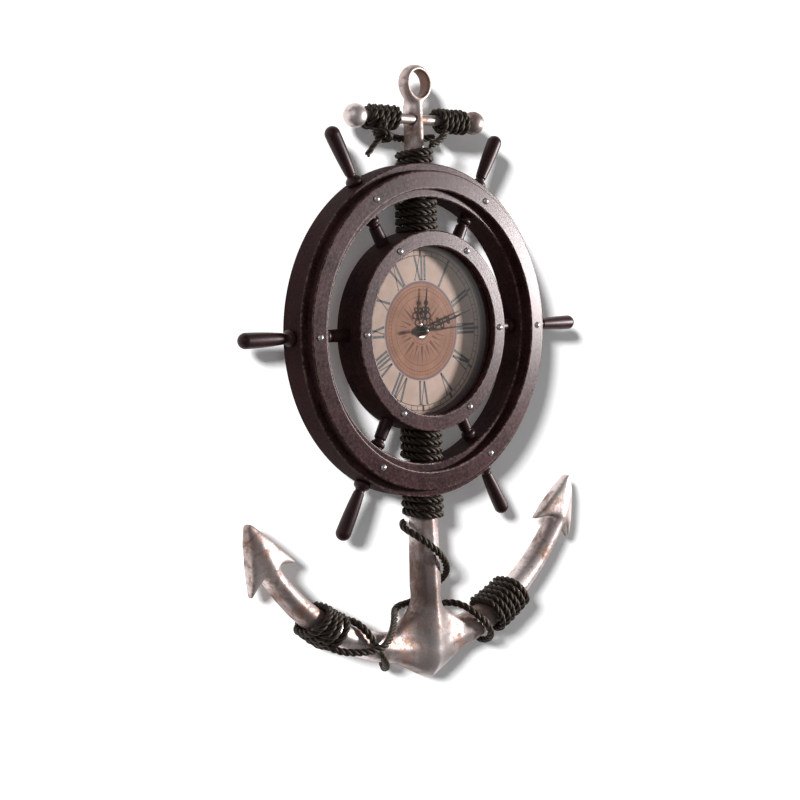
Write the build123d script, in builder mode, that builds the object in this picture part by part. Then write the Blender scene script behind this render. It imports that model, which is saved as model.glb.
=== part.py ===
from build123d import *
from math import cos, degrees, pi, radians, sin, sqrt, tan
import os

os.makedirs("parts", exist_ok=True)

# Wall clock in a ship's wheel that is lashed to an anchor.
# Lengths are in mm and angles in degrees. +X is right, +Y goes into the wall, +Z is up.
# The origin is the middle of the hanger's hole, on the flat back of the whole part.

# Clearances
fit = 0.1  # a piece in its seat
running_fit = 0.08  # an arbor in its bearing, or a pipe on a pipe
rope_gap = 0.2  # a rope and what it is wound on
turn_gap = 0.1  # one turn of rope and the next
overrun = 1.0  # how far a cut runs past the face that it leaves

# Ship's wheel
hanger_above_rim = 45.0  # hanger hole above the top of the rim
rim_radius = 175.0
rim_inner_radius = 139.5
rim_depth = 27.6
rim_edge_round = 1.2
facing_radius = 167.0
facing_inner_radius = 147.5
facing_depth = 8.4
facing_edge_round = 1.6
spoke_count = 6
spoke_behind = 14.0  # axis of spokes and handles in front of the flat back
notch_fit = 0.25  # anchor in the notches of the rim

# Nails with polished dome heads
nail_head_radius = 3.6
nail_head_height = 2.7
nail_radius = 1.2
nail_length = 16.0
rim_nail_circle = 157.0
bezel_nail_circle = 96.1

# Turned spokes
tenon_radius = 4.0
spoke_case_tenon = 7.5
spoke_rim_tenon = 10.0
spoke_radius = 7.2
spoke_waist_radius = 6.4
spoke_groove_radius = 5.0
spoke_bead_radius = 7.8
spoke_bead_length = 6.0
spoke_groove_length = 4.0
spoke_collar_length = 3.5

# Turned handles
handle_length = 65.0
handle_tenon = 12.0
collar_radius = 8.7
collar_length = 8.0
collar_foot_radius = 7.4
neck_radius = 4.9
neck_length = 4.5
neck_shoulder_radius = 5.8
grip_radius = 8.0
grip_middle_radius = 7.4
grip_end_length = 8.5

# Clock case, bezel and glass
case_radius = 105.0
sight_radius = 88.5
case_depth = 30.0
bezel_depth = 6.0
bezel_edge_round = 1.4
glass_radius = 92.0
glass_thickness = 2.4

# Dial and its board
dial_recess = 14.0  # dial's face in front of the flat back
dial_radius = 95.0
dial_thickness = 0.5
board_thickness = 3.0
board_screw_circle = 91.8
board_screw_count = 4

# Screws, as plain shanks and heads
screw_radius = 1.3
screw_head_radius = 2.5
screw_head_height = 1.6
board_screw_length = 9.0
anchor_screw_length = 22.0
anchor_screw_radius = 1.8
anchor_screw_head_radius = 3.4
anchor_screw_behind = 5.2  # axis in front of the flat back
hanger_screw_length = 4.2

# Casting section: flat back, round sides and a ridge down the front
back_share = 0.9
side_share = 0.42
cheek_width_share = 0.78
cheek_depth_share = 0.78
ridge_round = 2.6
back_round = 1.6

# Anchor's eye, upper shank and stock
eye_above_shank = 16.7  # eye's middle above the shank's top
eye_radius = 20.4
eye_bore_radius = 13.8
eye_depth = 19.0
eye_lip = 1.7
eye_behind = 12.5
shank_above_hanger = 21.0
shank_top_half_width = 8.4
shank_top_depth = 22.0
shank_half_width = 8.8
shank_depth = 23.0
neck_half_width = 9.6
neck_depth = 21.5
stock_below_top = 20.0  # stock under the shank's top
stock_behind = 13.0
stock_radius = 5.4
ball_spread = 84.5
ball_radius = 12.4
ball_socket = 9.0

# Stretches of shank that the rope covers
core_half_width = 12.5
core_depth = 24.0
notch_half_width = 10.0
notch_depth = 21.5

# Anchor's lower shank, crown, arms and flukes
lower_half_width = 15.6
lower_depth = 25.5
flare_above_crown = 62.0
flare_half_width = 16.8
flare_depth = 29.0
root_above_crown = 37.0
root_half_width = 24.5
root_depth = 30.5
fork_above_crown = 24.0
fork_half_width = 44.0
fork_depth = 31.5
crown_below_rim = 162.0  # arms' middle line at the shank, under the bottom of the rim
crown_half_width = 66.0
crown_depth = 31.5
bill_below_crown = 21.0
bill_half_width = 30.0
bill_depth = 28.0
tip_below_crown = 34.5
tip_half_width = 4.6
tip_depth = 20.0
arm_radius = 256.0
arm_root_half_width = 18.2
arm_middle_half_width = 14.0
arm_end_half_width = 10.6
arm_root_depth = 30.5
arm_middle_depth = 27.5
arm_end_depth = 24.0
arm_start_angle = -90.0
arm_end_angle = -36.5
arm_stations = 5
fluke_lift = 9.5  # fluke's axis turned up from the arm's end
fluke_length = 69.0
fluke_half_width = 33.0
fluke_sweep = 6.4  # barbs behind the arm's end
fluke_notch = 8.0  # notches in front of the arm's end
fluke_notch_round = 5.0
fluke_root_half_width = 11.6
fluke_edge_depth = 15.0
fluke_ridge_depth = 27.0
fluke_tip_edge_depth = 14.0
fluke_tip_ridge_depth = 18.0
fluke_tip_round = 4.2
fluke_barb_round = 3.4
fluke_edge_round = 2.0

# Rope
rope_radius = 4.0
tail_radius = 3.2
run_share = 0.45  # of a run that an arc takes up
stock_turns = 5
stock_rope_start = 29.5  # from the shank's middle to the first turn's side
neck_turns = 2
gap_turns = 4
base_turns = 3
arm_turns_left = 4
arm_turns_right = 6
arm_rope_angle_left = -58.4  # first turn, by the angle on the arm's arc
arm_rope_angle_right = -68.5

# Routes of the loose rope, from where each leaves its lashing
front_strand_route = [
    (30.9, -25.9, -10.9),
    (25.4, -27.3, -16.6),
    (18.5, -28, -21.6),
    (11.5, -28.6, -24.8),
    (5, -29.2, -26.2),
]
bridle_route = [
    (-33, -6.5, -15.7),
    (-24, 1, -16.7),
    (-12, 4.8, -17.6),
    (1, 5, -18),
    (12, 4.8, -17.6),
    (24, 0.9, -16.6),
    (33, -6, -15.5),
]
tail_route = [
    (-60, -29.1, -3.4),
    (-57.6, -28.1, -12),
    (-58.6, -25.4, -19),
    (-63, -22.4, -24.5),
    (-68.5, -20.6, -30.5),
    (-75, -19.2, -39),
]
shank_strand_route = [
    (-13.9, 6.3, -424.3),
    (-22.8, 0.6, -426.5),
    (-24.1, -13.8, -431.4),
    (-18.8, -25, -437.9),
    (-8.4, -30.1, -447),
    (2.9, -33.4, -458),
    (14.1, -29.5, -469.9),
    (24, -19.1, -481.9),
    (25, -6.1, -493),
    (23.5, 3, -501),
    (13, 5.8, -507.5),
    (0, 5.6, -511.5),
    (-14, 5.8, -513),
    (-27, 4.6, -513.5),
    (-38, -2, -515.5),
    (-46, -11, -519.5),
    (-55.5, -20, -525.5),
    (-68, -30, -531.5),
    (-80, -37.6, -536.5),
    (-91.9, -42, -540),
    (-107, -39.1, -541.5),
    (-121, -34.5, -540.5),
    (-129.5, -30.9, -539.3),
    (-137, -26.7, -537.1),
]
crown_loop_route = [
    (-100.9, 5.7, -527.8),
    (-105.6, 3.4, -515.6),
    (-106.7, -8.7, -512.4),
    (-103.9, -21, -516.3),
    (-99.6, -29.8, -525),
    (-91.8, -33.5, -540),
    (-78.6, -30.4, -557.3),
    (-65.6, -19.1, -569.1),
    (-56.9, -2.3, -573.9),
    (-48.5, 8.7, -564),
]
arm_turn_route = [
    (33, 5, -521),
    (44, -1, -519.5),
    (54, -12, -522.5),
    (62, -25.2, -531.9),
    (71, -33.8, -544.9),
    (80, -30.6, -557),
    (87, -18, -566.5),
    (88.5, -3, -569),
    (84, 5.4, -561),
]

# Hanger plate with a keyhole
hanger_thickness = 1.5
hanger_width = 12.0
hanger_below = 10.5
hanger_above = 17.5
hanger_round = 2.0
keyhole_radius = 4.5
keyslot_radius = 2.2
keyslot_length = 8.0
keyhole_pocket = 4.0
keyhole_pocket_margin = 0.6
hanger_screw_inset = 2.9

# Quartz movement
movement_width = 56.0
movement_round = 5.0
movement_depth = 15.4
movement_wall = 1.6
bay_height = 15.0
bushing_radius = 4.0
bushing_bore_radius = 2.75
bushing_length = 7.1
washer_radius = 7.5
washer_thickness = 0.6
nut_width = 12.0
nut_thickness = 2.4
battery_radius = 7.1
battery_length = 49.2
battery_button_radius = 2.75
battery_button_length = 1.3
battery_round = 0.6
contact_thickness = 0.5
contact_width = 10.0
contact_bump_radius = 3.0
motor_height = 7.4
motor_width = 34.0
motor_depth = 9.0
motor_inset = 1.2
motor_round = 1.0
circuit_width = 11.0
circuit_height = 16.0
circuit_thickness = 1.2
knob_radius = 5.2
knob_thickness = 2.4
knob_gap = 0.4
knob_flutes = 12
knob_flute_radius = 0.7

# Wheels of the movement: one moulding each, with its pinion and its arbor
addendum_share = 0.75
dedendum_share = 1.2
tooth_root_share = 0.25
tooth_pitch_share = 0.18
tooth_tip_share = 0.07
wheel_thickness = 0.9
pinion_thickness = 1.4
layer_gap = 0.6
cannon_teeth = 12
motion_wheel_teeth = 36
motion_pinion_teeth = 10
hour_wheel_teeth = 40
centre_wheel_teeth = 64
third_pinion_teeth = 8
third_wheel_teeth = 60
second_pinion_teeth = 8
second_wheel_teeth = 60
motion_distance = 10.8  # centre arbor to the motion arbor
third_distance = 10.1  # centre arbor to the third arbor
second_wheel_radius = 8.4
motion_bearing = 140.0
third_bearing = 40.0
hour_pipe_radius = 2.5
minute_pipe_radius = 1.75
second_arbor_radius = 0.75
motion_arbor_radius = 1.0
third_arbor_radius = 0.55
pivot_depth = 0.9

# Hands
hand_thickness = 0.6
hand_gap = 1.2
hour_hand_length = 45.0
minute_hand_length = 69.5
second_hand_length = 62.0
second_tail_length = 22.0
hour_boss_radius = 5.0
minute_boss_radius = 4.2
second_boss_radius = 3.0
hand_stem_width = 2.2
hand_tip_width = 0.7
hour_scroll_radius = 3.9
minute_scroll_radius = 2.8
scroll_wall = 1.35
second_width = 1.1
second_weight_width = 3.2
ring_share = 0.2  # places along a hand
lower_scroll_share = 0.36
upper_scroll_share = 0.5
bead_share = 0.66
small_scroll_share = 0.72  # of the large scroll's radius
hour_hand_angle = 6.1  # clockwise from twelve, at the time that the clock shows
minute_hand_angle = 73.4
second_hand_angle = 87.0

# Places that follow from the sizes
wheel_drop = rim_radius + hanger_above_rim
crown_drop = rim_radius + crown_below_rim
wheel_z = -wheel_drop
wheel_axis = Axis((0, 0, wheel_z), (0, 1, 0))
radial_plane = Plane.XY.offset(wheel_z)
back_plane = Plane((0, 0, 0), x_dir=(1, 0, 0), z_dir=(0, -1, 0))
front_depth = rim_depth + facing_depth
spoke_angles = [360 / spoke_count * i for i in range(spoke_count)]
turn_pitch = 2 * rope_radius + turn_gap
rope_offset = rope_gap + rope_radius
shank_top_rise = wheel_drop + shank_above_hanger
eye_rise = shank_top_rise + eye_above_shank
stock_z = wheel_z + shank_top_rise - stock_below_top
stock_plane = Plane((0, -stock_behind, stock_z), z_dir=(1, 0, 0))
arm_middle_z = wheel_z - crown_drop + arm_radius
dial_seat_radius = dial_radius + fit
board_back = dial_recess - dial_thickness - board_thickness
board_screw_start = 180 / board_screw_count
neck_top = rim_radius + rope_gap + neck_turns * turn_pitch + turn_gap
base_bottom = rim_radius + rope_gap + base_turns * turn_pitch + turn_gap


def front_plane(depth):
    """A plane that faces the room, a depth in front of the flat back, with X right and Y up."""
    return Plane((0, -depth, wheel_z), x_dir=(1, 0, 0), z_dir=(0, -1, 0))


def level_plane(rise):
    """A level plane at a rise above the wheel's middle, with Y into the wall."""
    return Plane.XY.offset(wheel_z + rise)


def outward(angle):
    """The direction away from the wheel's axis at an angle from +X."""
    return Vector(cos(radians(angle)), 0, sin(radians(angle)))


def spoke_plane(angle):
    """A plane through a spoke's axis: its X runs away from the wheel's axis."""
    return Plane((0, -spoke_behind, wheel_z), x_dir=outward(angle), z_dir=(0, 1, 0))


def end_plane(angle, radius, behind):
    """A plane square to a radius of the wheel, facing outwards, at a distance from the axis."""
    origin = Vector(0, -behind, wheel_z) + outward(angle) * radius
    return Plane(origin, x_dir=(0, 1, 0), z_dir=outward(angle))


def arm_plane(angle):
    """A plane square to the right arm's middle line, with X away from the middle of its arc."""
    along = (-sin(radians(angle)), 0, cos(radians(angle)))
    origin = Vector(0, 0, arm_middle_z) + outward(angle) * arm_radius
    return Plane(origin, x_dir=outward(angle), z_dir=along)


def ridge_section(plane, half_width, depth, grow=0):
    """The casting's section, grown all round: flat back on the plane's X axis, ridge in front."""
    back = half_width * back_share
    side = depth * side_share
    cheek_x = half_width * cheek_width_share
    cheek_y = -depth * cheek_depth_share
    with BuildSketch(plane) as section:
        with BuildLine():
            ThreePointArc((back, 0), (half_width, -side), (cheek_x, cheek_y))
            Line((cheek_x, cheek_y), (0, -depth))
            Line((0, -depth), (-cheek_x, cheek_y))
            ThreePointArc((-cheek_x, cheek_y), (-half_width, -side), (-back, 0))
            Line((-back, 0), (back, 0))
        make_face()
        fillet(section.vertices().sort_by(Axis.Y)[0], ridge_round)
        fillet(section.vertices().group_by(Axis.Y)[-1], back_round)
        if grow:
            offset(amount=grow)
    return section.sketch


def between(share, root, middle, end):
    """A size along the arm, on a curve through its sizes at the root, the middle and the end."""
    near = root * (1 - share) * (1 - 2 * share)
    return near + 4 * middle * share * (1 - share) + end * share * (2 * share - 1)


def arm_section(angle, grow=0):
    """The arm's section at an angle of its arc."""
    share = (angle - arm_start_angle) / (arm_end_angle - arm_start_angle)
    half_width = between(share, arm_root_half_width, arm_middle_half_width, arm_end_half_width)
    depth = between(share, arm_root_depth, arm_middle_depth, arm_end_depth)
    return ridge_section(arm_plane(angle), half_width, depth, grow)


def lashing(sections):
    """Turns of rope, one along the outline of each section."""
    with BuildPart() as turns:
        for section in sections:
            path = section.face().outer_wire()
            with BuildSketch(Plane(path @ 0, z_dir=path % 0)):
                Circle(rope_radius)
            sweep(path=path)
    return turns.part


def shank_lashing(start, direction, count, half_width, depth):
    """Turns round the shank, from a rise above the wheel's middle upwards or downwards."""
    rises = [start + direction * (rope_radius + i * turn_pitch) for i in range(count)]
    return lashing([ridge_section(level_plane(z), half_width, depth, rope_offset) for z in rises])


def arm_lashing(first_angle, count):
    """Turns round the right arm, the first at an angle of its arc."""
    inner_radius = arm_radius - arm_root_half_width - rope_offset
    step = degrees(turn_pitch / inner_radius)
    return lashing([arm_section(first_angle + i * step, rope_offset) for i in range(count)])


def rope_run(name, points, radius):
    """A tube along a route of straight runs joined by arcs as large as the runs allow."""
    corners = [Vector(point) for point in points]
    radii = []
    for before, corner, after in zip(corners, corners[1:], corners[2:]):
        turn = (corner - before).get_angle(after - corner)
        shorter = min((corner - before).length, (after - corner).length)
        radii.append(run_share * shorter / tan(radians(turn / 2)))
    with BuildPart() as tube:
        with BuildLine() as route:
            FilletPolyline(*points, radius=radii)
        path = route.wire()
        with BuildSketch(Plane(path @ 0, z_dir=path % 0)):
            Circle(radius)
        sweep(path=path)
    print(name, "length", round(path.length, 1), "bend radii", [round(bend) for bend in radii])
    return tube.part


def cap_radius(radius, height):
    """The radius of the sphere whose cap has a base radius and a height."""
    return (radius**2 + height**2) / (2 * height)


def headed_pin(head_radius, head_height, radius, length, domed):
    """A nail or a screw with its head on the XY plane and its shank below it."""
    with BuildPart() as pin:
        with BuildSketch(Plane.XZ):
            with BuildLine():
                if domed:
                    RadiusArc((head_radius, 0), (0, head_height), -cap_radius(head_radius, head_height))
                else:
                    Polyline((head_radius, 0), (head_radius, head_height), (0, head_height))
                Polyline((0, head_height), (0, -length), (radius, -length), (radius, 0))
                Line((radius, 0), (head_radius, 0))
            make_face()
        revolve(axis=Axis.Z)
    return pin.part


def wheel_module(distance, teeth, other_teeth):
    """The module at which two wheels mesh at a distance."""
    return 2 * distance / (teeth + other_teeth)


def toothed_disc(plane, teeth, module, tooth_angle):
    """A toothed wheel's outline with a tooth at an angle from the plane's X."""
    pitch_radius = module * teeth / 2
    root_radius = pitch_radius - module * dedendum_share
    pitch = pi * module
    inside = root_radius - module * addendum_share / 2
    with BuildSketch(plane) as disc:
        Circle(root_radius)
        with PolarLocations(0, teeth, start_angle=tooth_angle):
            Polygon(
                (inside, -pitch * tooth_root_share),
                (root_radius, -pitch * tooth_root_share),
                (pitch_radius, -pitch * tooth_pitch_share),
                (pitch_radius + module * addendum_share, -pitch * tooth_tip_share),
                (pitch_radius + module * addendum_share, pitch * tooth_tip_share),
                (pitch_radius, pitch * tooth_pitch_share),
                (root_radius, pitch * tooth_root_share),
                (inside, pitch * tooth_root_share),
                align=None,
            )
    return disc.sketch


def movement_plane(depth, distance, bearing):
    """A plane facing the room at an arbor of the movement, with X along the wheel's X."""
    origin = Vector(0, -depth, wheel_z) + outward(bearing) * distance
    return Plane(origin, x_dir=(1, 0, 0), z_dir=(0, -1, 0))


def save(part, name):
    """Labels a sub-part and writes its file."""
    part.label = name
    export_step(part, f"parts/{name}.step")


# Rim of the wheel, notched at the back for the anchor
with BuildPart() as wheel_rim:
    with BuildSketch(radial_plane):
        with BuildLine():
            Polyline(
                (rim_inner_radius, 0),
                (rim_inner_radius, -rim_depth),
                (rim_radius, -rim_depth),
                (rim_radius, 0),
                close=True,
            )
        make_face()
    revolve(axis=wheel_axis)
    fillet(wheel_rim.edges().group_by(Axis.Y)[0], rim_edge_round)
    for side in (1, -1):
        middle = side * (rim_radius + rim_inner_radius) / 2
        notch = ridge_section(level_plane(middle), notch_half_width, notch_depth, notch_fit)
        extrude(notch, amount=rim_radius - rim_inner_radius, both=True, mode=Mode.SUBTRACT)
    for angle in spoke_angles:
        with BuildSketch(end_plane(angle, rim_inner_radius - overrun, spoke_behind)):
            Circle(tenon_radius + fit)
        extrude(amount=overrun + spoke_rim_tenon + fit, mode=Mode.SUBTRACT)
        with BuildSketch(end_plane(angle, rim_radius - handle_tenon - fit, spoke_behind)):
            Circle(tenon_radius + fit)
        extrude(amount=handle_tenon + fit + overrun, mode=Mode.SUBTRACT)
    with BuildSketch(front_plane(rim_depth)):
        with PolarLocations(rim_nail_circle, spoke_count):
            Circle(nail_radius + fit)
    extrude(amount=-(nail_length - facing_depth + fit), mode=Mode.SUBTRACT)
save(wheel_rim.part, "wheel_rim")

# Raised facing ring
with BuildPart() as rim_facing:
    with BuildSketch(front_plane(rim_depth)):
        Circle(facing_radius)
        Circle(facing_inner_radius, mode=Mode.SUBTRACT)
        with PolarLocations(rim_nail_circle, spoke_count):
            Circle(nail_radius + fit, mode=Mode.SUBTRACT)
    extrude(amount=facing_depth)
    front_edges = rim_facing.edges().group_by(Axis.Y)[0].sort_by(SortBy.LENGTH)
    fillet(front_edges[-2:], facing_edge_round)
save(rim_facing.part, "rim_facing")

# Dome nails of the facing and of the bezel
nail = headed_pin(nail_head_radius, nail_head_height, nail_radius, nail_length, True)
for name, circle in (("rim_nails", rim_nail_circle), ("bezel_nails", bezel_nail_circle)):
    with BuildPart(front_plane(front_depth)) as nails:
        with PolarLocations(circle, spoke_count):
            add(nail)
    save(nails.part, name)

# Spokes between the case and the rim
spoke_shoulder = sqrt(rim_inner_radius**2 - spoke_waist_radius**2) - fit
bead_end = spoke_shoulder - spoke_collar_length
bead_start = bead_end - spoke_bead_length
groove_start = bead_start - spoke_groove_length
spoke_root = case_radius - spoke_case_tenon
spoke_end = rim_inner_radius + spoke_rim_tenon
for number, angle in enumerate(spoke_angles, 1):
    with BuildPart() as spoke:
        with BuildSketch(spoke_plane(angle)):
            with BuildLine():
                Polyline(
                    (groove_start, spoke_waist_radius),
                    (case_radius, spoke_radius),
                    (case_radius, tenon_radius),
                    (spoke_root, tenon_radius),
                    (spoke_root, 0),
                    (spoke_end, 0),
                    (spoke_end, tenon_radius),
                    (spoke_shoulder, tenon_radius),
                    (spoke_shoulder, spoke_waist_radius),
                    (bead_end, spoke_waist_radius),
                )
                ThreePointArc(
                    (bead_end, spoke_waist_radius),
                    ((bead_start + bead_end) / 2, spoke_bead_radius),
                    (bead_start, spoke_waist_radius),
                )
                ThreePointArc(
                    (bead_start, spoke_waist_radius),
                    ((groove_start + bead_start) / 2, spoke_groove_radius),
                    (groove_start, spoke_waist_radius),
                )
            make_face()
        revolve(axis=Axis((0, -spoke_behind, wheel_z), outward(angle)))
    save(spoke.part, f"spoke_{number}")

# Handles outside the rim
collar_end = rim_radius + collar_length
neck_end = collar_end + neck_length
handle_end = rim_radius + handle_length
grip_end = handle_end - grip_end_length
handle_root = rim_radius - handle_tenon
for number, angle in enumerate(spoke_angles, 1):
    with BuildPart() as handle:
        with BuildSketch(spoke_plane(angle)):
            with BuildLine():
                Polyline(
                    (handle_end, 0),
                    (handle_root, 0),
                    (handle_root, tenon_radius),
                    (rim_radius, tenon_radius),
                    (rim_radius, collar_foot_radius),
                )
                ThreePointArc(
                    (rim_radius, collar_foot_radius),
                    ((rim_radius + collar_end) / 2, collar_radius),
                    (collar_end, neck_shoulder_radius),
                )
                ThreePointArc(
                    (collar_end, neck_shoulder_radius),
                    ((collar_end + neck_end) / 2, neck_radius),
                    (neck_end, neck_shoulder_radius),
                )
                ThreePointArc(
                    (neck_end, neck_shoulder_radius),
                    ((neck_end + grip_end) / 2, grip_middle_radius),
                    (grip_end, grip_radius),
                )
                RadiusArc((grip_end, grip_radius), (handle_end, 0), cap_radius(grip_radius, grip_end_length))
            make_face()
        revolve(axis=Axis((0, -spoke_behind, wheel_z), outward(angle)))
    save(handle.part, f"handle_{number}")

# Drum of the clock, with a rebate for the glass and a seat for the dial
with BuildPart() as clock_case:
    with BuildSketch(radial_plane):
        with BuildLine():
            Polyline(
                (case_radius, 0),
                (case_radius, -case_depth),
                (glass_radius + fit, -case_depth),
                (glass_radius + fit, -(case_depth - glass_thickness)),
                (sight_radius, -(case_depth - glass_thickness)),
                (sight_radius, -dial_recess),
                (dial_seat_radius, -dial_recess),
                (dial_seat_radius, 0),
                close=True,
            )
        make_face()
    revolve(axis=wheel_axis)
    for angle in spoke_angles:
        with BuildSketch(end_plane(angle, case_radius + overrun, spoke_behind)):
            Circle(tenon_radius + fit)
        extrude(amount=-(overrun + spoke_case_tenon + fit), mode=Mode.SUBTRACT)
    for angle in (90, -90):
        with BuildSketch(end_plane(angle, case_radius + overrun, anchor_screw_behind)):
            Circle(anchor_screw_radius + fit)
        extrude(amount=-(case_radius - dial_radius + 2 * overrun), mode=Mode.SUBTRACT)
    with BuildSketch(front_plane(case_depth)):
        with PolarLocations(bezel_nail_circle, spoke_count):
            Circle(nail_radius + fit)
    extrude(amount=-(nail_length - bezel_depth + fit), mode=Mode.SUBTRACT)
    with BuildSketch(front_plane(dial_recess)):
        with PolarLocations(board_screw_circle, board_screw_count, board_screw_start):
            Circle(screw_radius + fit)
    extrude(amount=board_screw_length - board_thickness - dial_thickness + fit, mode=Mode.SUBTRACT)
save(clock_case.part, "clock_case")

# Bezel that holds the glass down
with BuildPart() as bezel:
    with BuildSketch(front_plane(case_depth)):
        Circle(case_radius)
        Circle(sight_radius, mode=Mode.SUBTRACT)
        with PolarLocations(bezel_nail_circle, spoke_count):
            Circle(nail_radius + fit, mode=Mode.SUBTRACT)
    extrude(amount=bezel_depth)
    front_edges = bezel.edges().group_by(Axis.Y)[0].sort_by(SortBy.LENGTH)
    fillet(front_edges[-2:], bezel_edge_round)
save(bezel.part, "bezel")

with BuildPart() as glass:
    with BuildSketch(front_plane(case_depth)):
        Circle(glass_radius)
    extrude(amount=-glass_thickness)
save(glass.part, "glass")

# Printed dial and the board that carries the movement
for name, front, thickness in (
    ("dial", dial_recess, dial_thickness),
    ("dial_board", dial_recess - dial_thickness, board_thickness),
):
    with BuildPart() as disc:
        with BuildSketch(front_plane(front)):
            Circle(dial_radius)
            Circle(bushing_radius + fit, mode=Mode.SUBTRACT)
            with PolarLocations(board_screw_circle, board_screw_count, board_screw_start):
                Circle(screw_radius + fit, mode=Mode.SUBTRACT)
        extrude(amount=-thickness)
    save(disc.part, name)

board_screw = headed_pin(screw_head_radius, screw_head_height, screw_radius, board_screw_length, False)
board_face = Plane((0, -board_back, wheel_z), x_dir=(-1, 0, 0), z_dir=(0, 1, 0))
with BuildPart(board_face) as board_screws:
    with PolarLocations(board_screw_circle, board_screw_count, board_screw_start):
        add(board_screw)
save(board_screws.part, "board_screws")

# Screws from the drum into the two anchor castings
anchor_screw = headed_pin(
    anchor_screw_head_radius, screw_head_height, anchor_screw_radius, anchor_screw_length, False
)
anchor_screw_seat = sqrt(dial_seat_radius**2 - anchor_screw_head_radius**2) - fit
with BuildPart() as anchor_screws:
    for angle in (90, -90):
        seat = end_plane(angle, anchor_screw_seat, anchor_screw_behind)
        with Locations(Plane(seat.origin, z_dir=-outward(angle))):
            add(anchor_screw)
save(anchor_screws.part, "anchor_screws")

# Upper casting of the anchor: eye, shank and the stretches that run behind the rim
eye_z = wheel_z + eye_rise
eye_front = eye_behind + eye_depth / 2
eye_back = eye_behind - eye_depth / 2
eye_edge = eye_bore_radius + eye_lip
rim_clear_radius = sqrt((rim_inner_radius - notch_fit) ** 2 - core_half_width**2)
hanger_height = hanger_above + hanger_below
hanger_middle = (hanger_above - hanger_below) / 2
pocket_half_width = keyhole_radius + keyhole_pocket_margin
pocket_height = pocket_half_width + keyslot_length + keyslot_radius + keyhole_pocket_margin
hanger_screw_places = [(0, hanger_above - hanger_screw_inset), (0, hanger_screw_inset - hanger_below)]
with BuildPart() as anchor_head:
    with BuildSketch(Plane.XY.offset(eye_z)):
        with BuildLine():
            Polyline(
                (eye_edge, -eye_back),
                (eye_bore_radius, -eye_back),
                (eye_bore_radius, -eye_front),
                (eye_edge, -eye_front),
            )
            ThreePointArc((eye_edge, -eye_front), (eye_radius, -eye_behind), (eye_edge, -eye_back))
        make_face()
    revolve(axis=Axis((0, 0, eye_z), (0, 1, 0)))
    loft(
        sections=[
            ridge_section(level_plane(shank_top_rise), shank_top_half_width, shank_top_depth),
            ridge_section(level_plane(neck_top), shank_half_width, shank_depth),
        ]
    )
    neck = ridge_section(level_plane(rim_radius), neck_half_width, neck_depth)
    extrude(neck, amount=neck_top - rim_radius)
    passage = ridge_section(level_plane(rim_clear_radius), notch_half_width, notch_depth)
    extrude(passage, amount=rim_radius - rim_clear_radius)
    core = ridge_section(level_plane(rim_clear_radius), core_half_width, core_depth)
    extrude(core, amount=case_radius - core_half_width - rim_clear_radius)
    with Locations(front_plane(core_depth)):
        Cylinder(case_radius + fit, 2 * core_depth + 2 * overrun, mode=Mode.SUBTRACT)
    with BuildSketch(end_plane(90, case_radius, anchor_screw_behind)):
        Circle(anchor_screw_radius + fit)
    extrude(amount=anchor_screw_seat + anchor_screw_length + fit - case_radius, mode=Mode.SUBTRACT)
    with Locations(stock_plane):
        Cylinder(stock_radius + fit, 2 * (shank_half_width + overrun), mode=Mode.SUBTRACT)
    with BuildSketch(back_plane):
        with Locations((0, hanger_middle)):
            RectangleRounded(hanger_width + 2 * fit, hanger_height + 2 * fit, hanger_round + fit)
    extrude(amount=hanger_thickness, mode=Mode.SUBTRACT)
    with BuildSketch(back_plane):
        with Locations((0, pocket_height / 2 - pocket_half_width)):
            Rectangle(2 * pocket_half_width, pocket_height)
    extrude(amount=hanger_thickness + keyhole_pocket, mode=Mode.SUBTRACT)
    with BuildSketch(back_plane):
        with Locations(*hanger_screw_places):
            Circle(screw_radius + fit)
    extrude(amount=hanger_screw_length + fit, mode=Mode.SUBTRACT)
save(anchor_head.part, "anchor_head")

# Keyhole plate in the back of the upper casting
with BuildPart() as hanger_plate:
    with BuildSketch(back_plane):
        with Locations((0, hanger_middle)):
            RectangleRounded(hanger_width, hanger_height, hanger_round)
        Circle(keyhole_radius, mode=Mode.SUBTRACT)
        with Locations((0, keyslot_length / 2)):
            SlotCenterToCenter(keyslot_length, 2 * keyslot_radius, rotation=90, mode=Mode.SUBTRACT)
        with Locations(*hanger_screw_places):
            Circle(screw_radius + fit, mode=Mode.SUBTRACT)
    extrude(amount=hanger_thickness)
save(hanger_plate.part, "hanger_plate")

hanger_screw = headed_pin(screw_head_radius, screw_head_height, screw_radius, hanger_screw_length, False)
with BuildPart(Plane((0, 0, 0), x_dir=(-1, 0, 0), z_dir=(0, 1, 0))) as hanger_screws:
    with Locations(*hanger_screw_places):
        add(hanger_screw)
save(hanger_screws.part, "hanger_screws")

# Stock through the upper shank, with a ball on each end
rod_half_length = ball_spread - ball_radius + ball_socket
with BuildPart() as stock_rod:
    with Locations(stock_plane):
        Cylinder(stock_radius, 2 * rod_half_length)
save(stock_rod.part, "stock_rod")

with BuildPart() as stock_balls:
    with Locations((ball_spread, -stock_behind, stock_z), (-ball_spread, -stock_behind, stock_z)):
        Sphere(ball_radius)
    with Locations(stock_plane):
        Cylinder(stock_radius + fit, 2 * (rod_half_length + fit), mode=Mode.SUBTRACT)
save(stock_balls.part, "stock_balls")

# Arm and fluke on the right, which the left ones mirror
arm_step = (arm_end_angle - arm_start_angle) / (arm_stations - 1)
fluke_bearing = arm_end_angle + 90 + fluke_lift
fluke_axis = outward(fluke_bearing)
fluke_inwards = outward(fluke_bearing + 90)
arm_end = arm_plane(arm_end_angle).origin
fluke_plan = Plane(arm_end, x_dir=fluke_axis, z_dir=(0, -1, 0))
roof_half_width = fluke_half_width + overrun
tip_half_roof = fluke_tip_round + overrun


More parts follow.
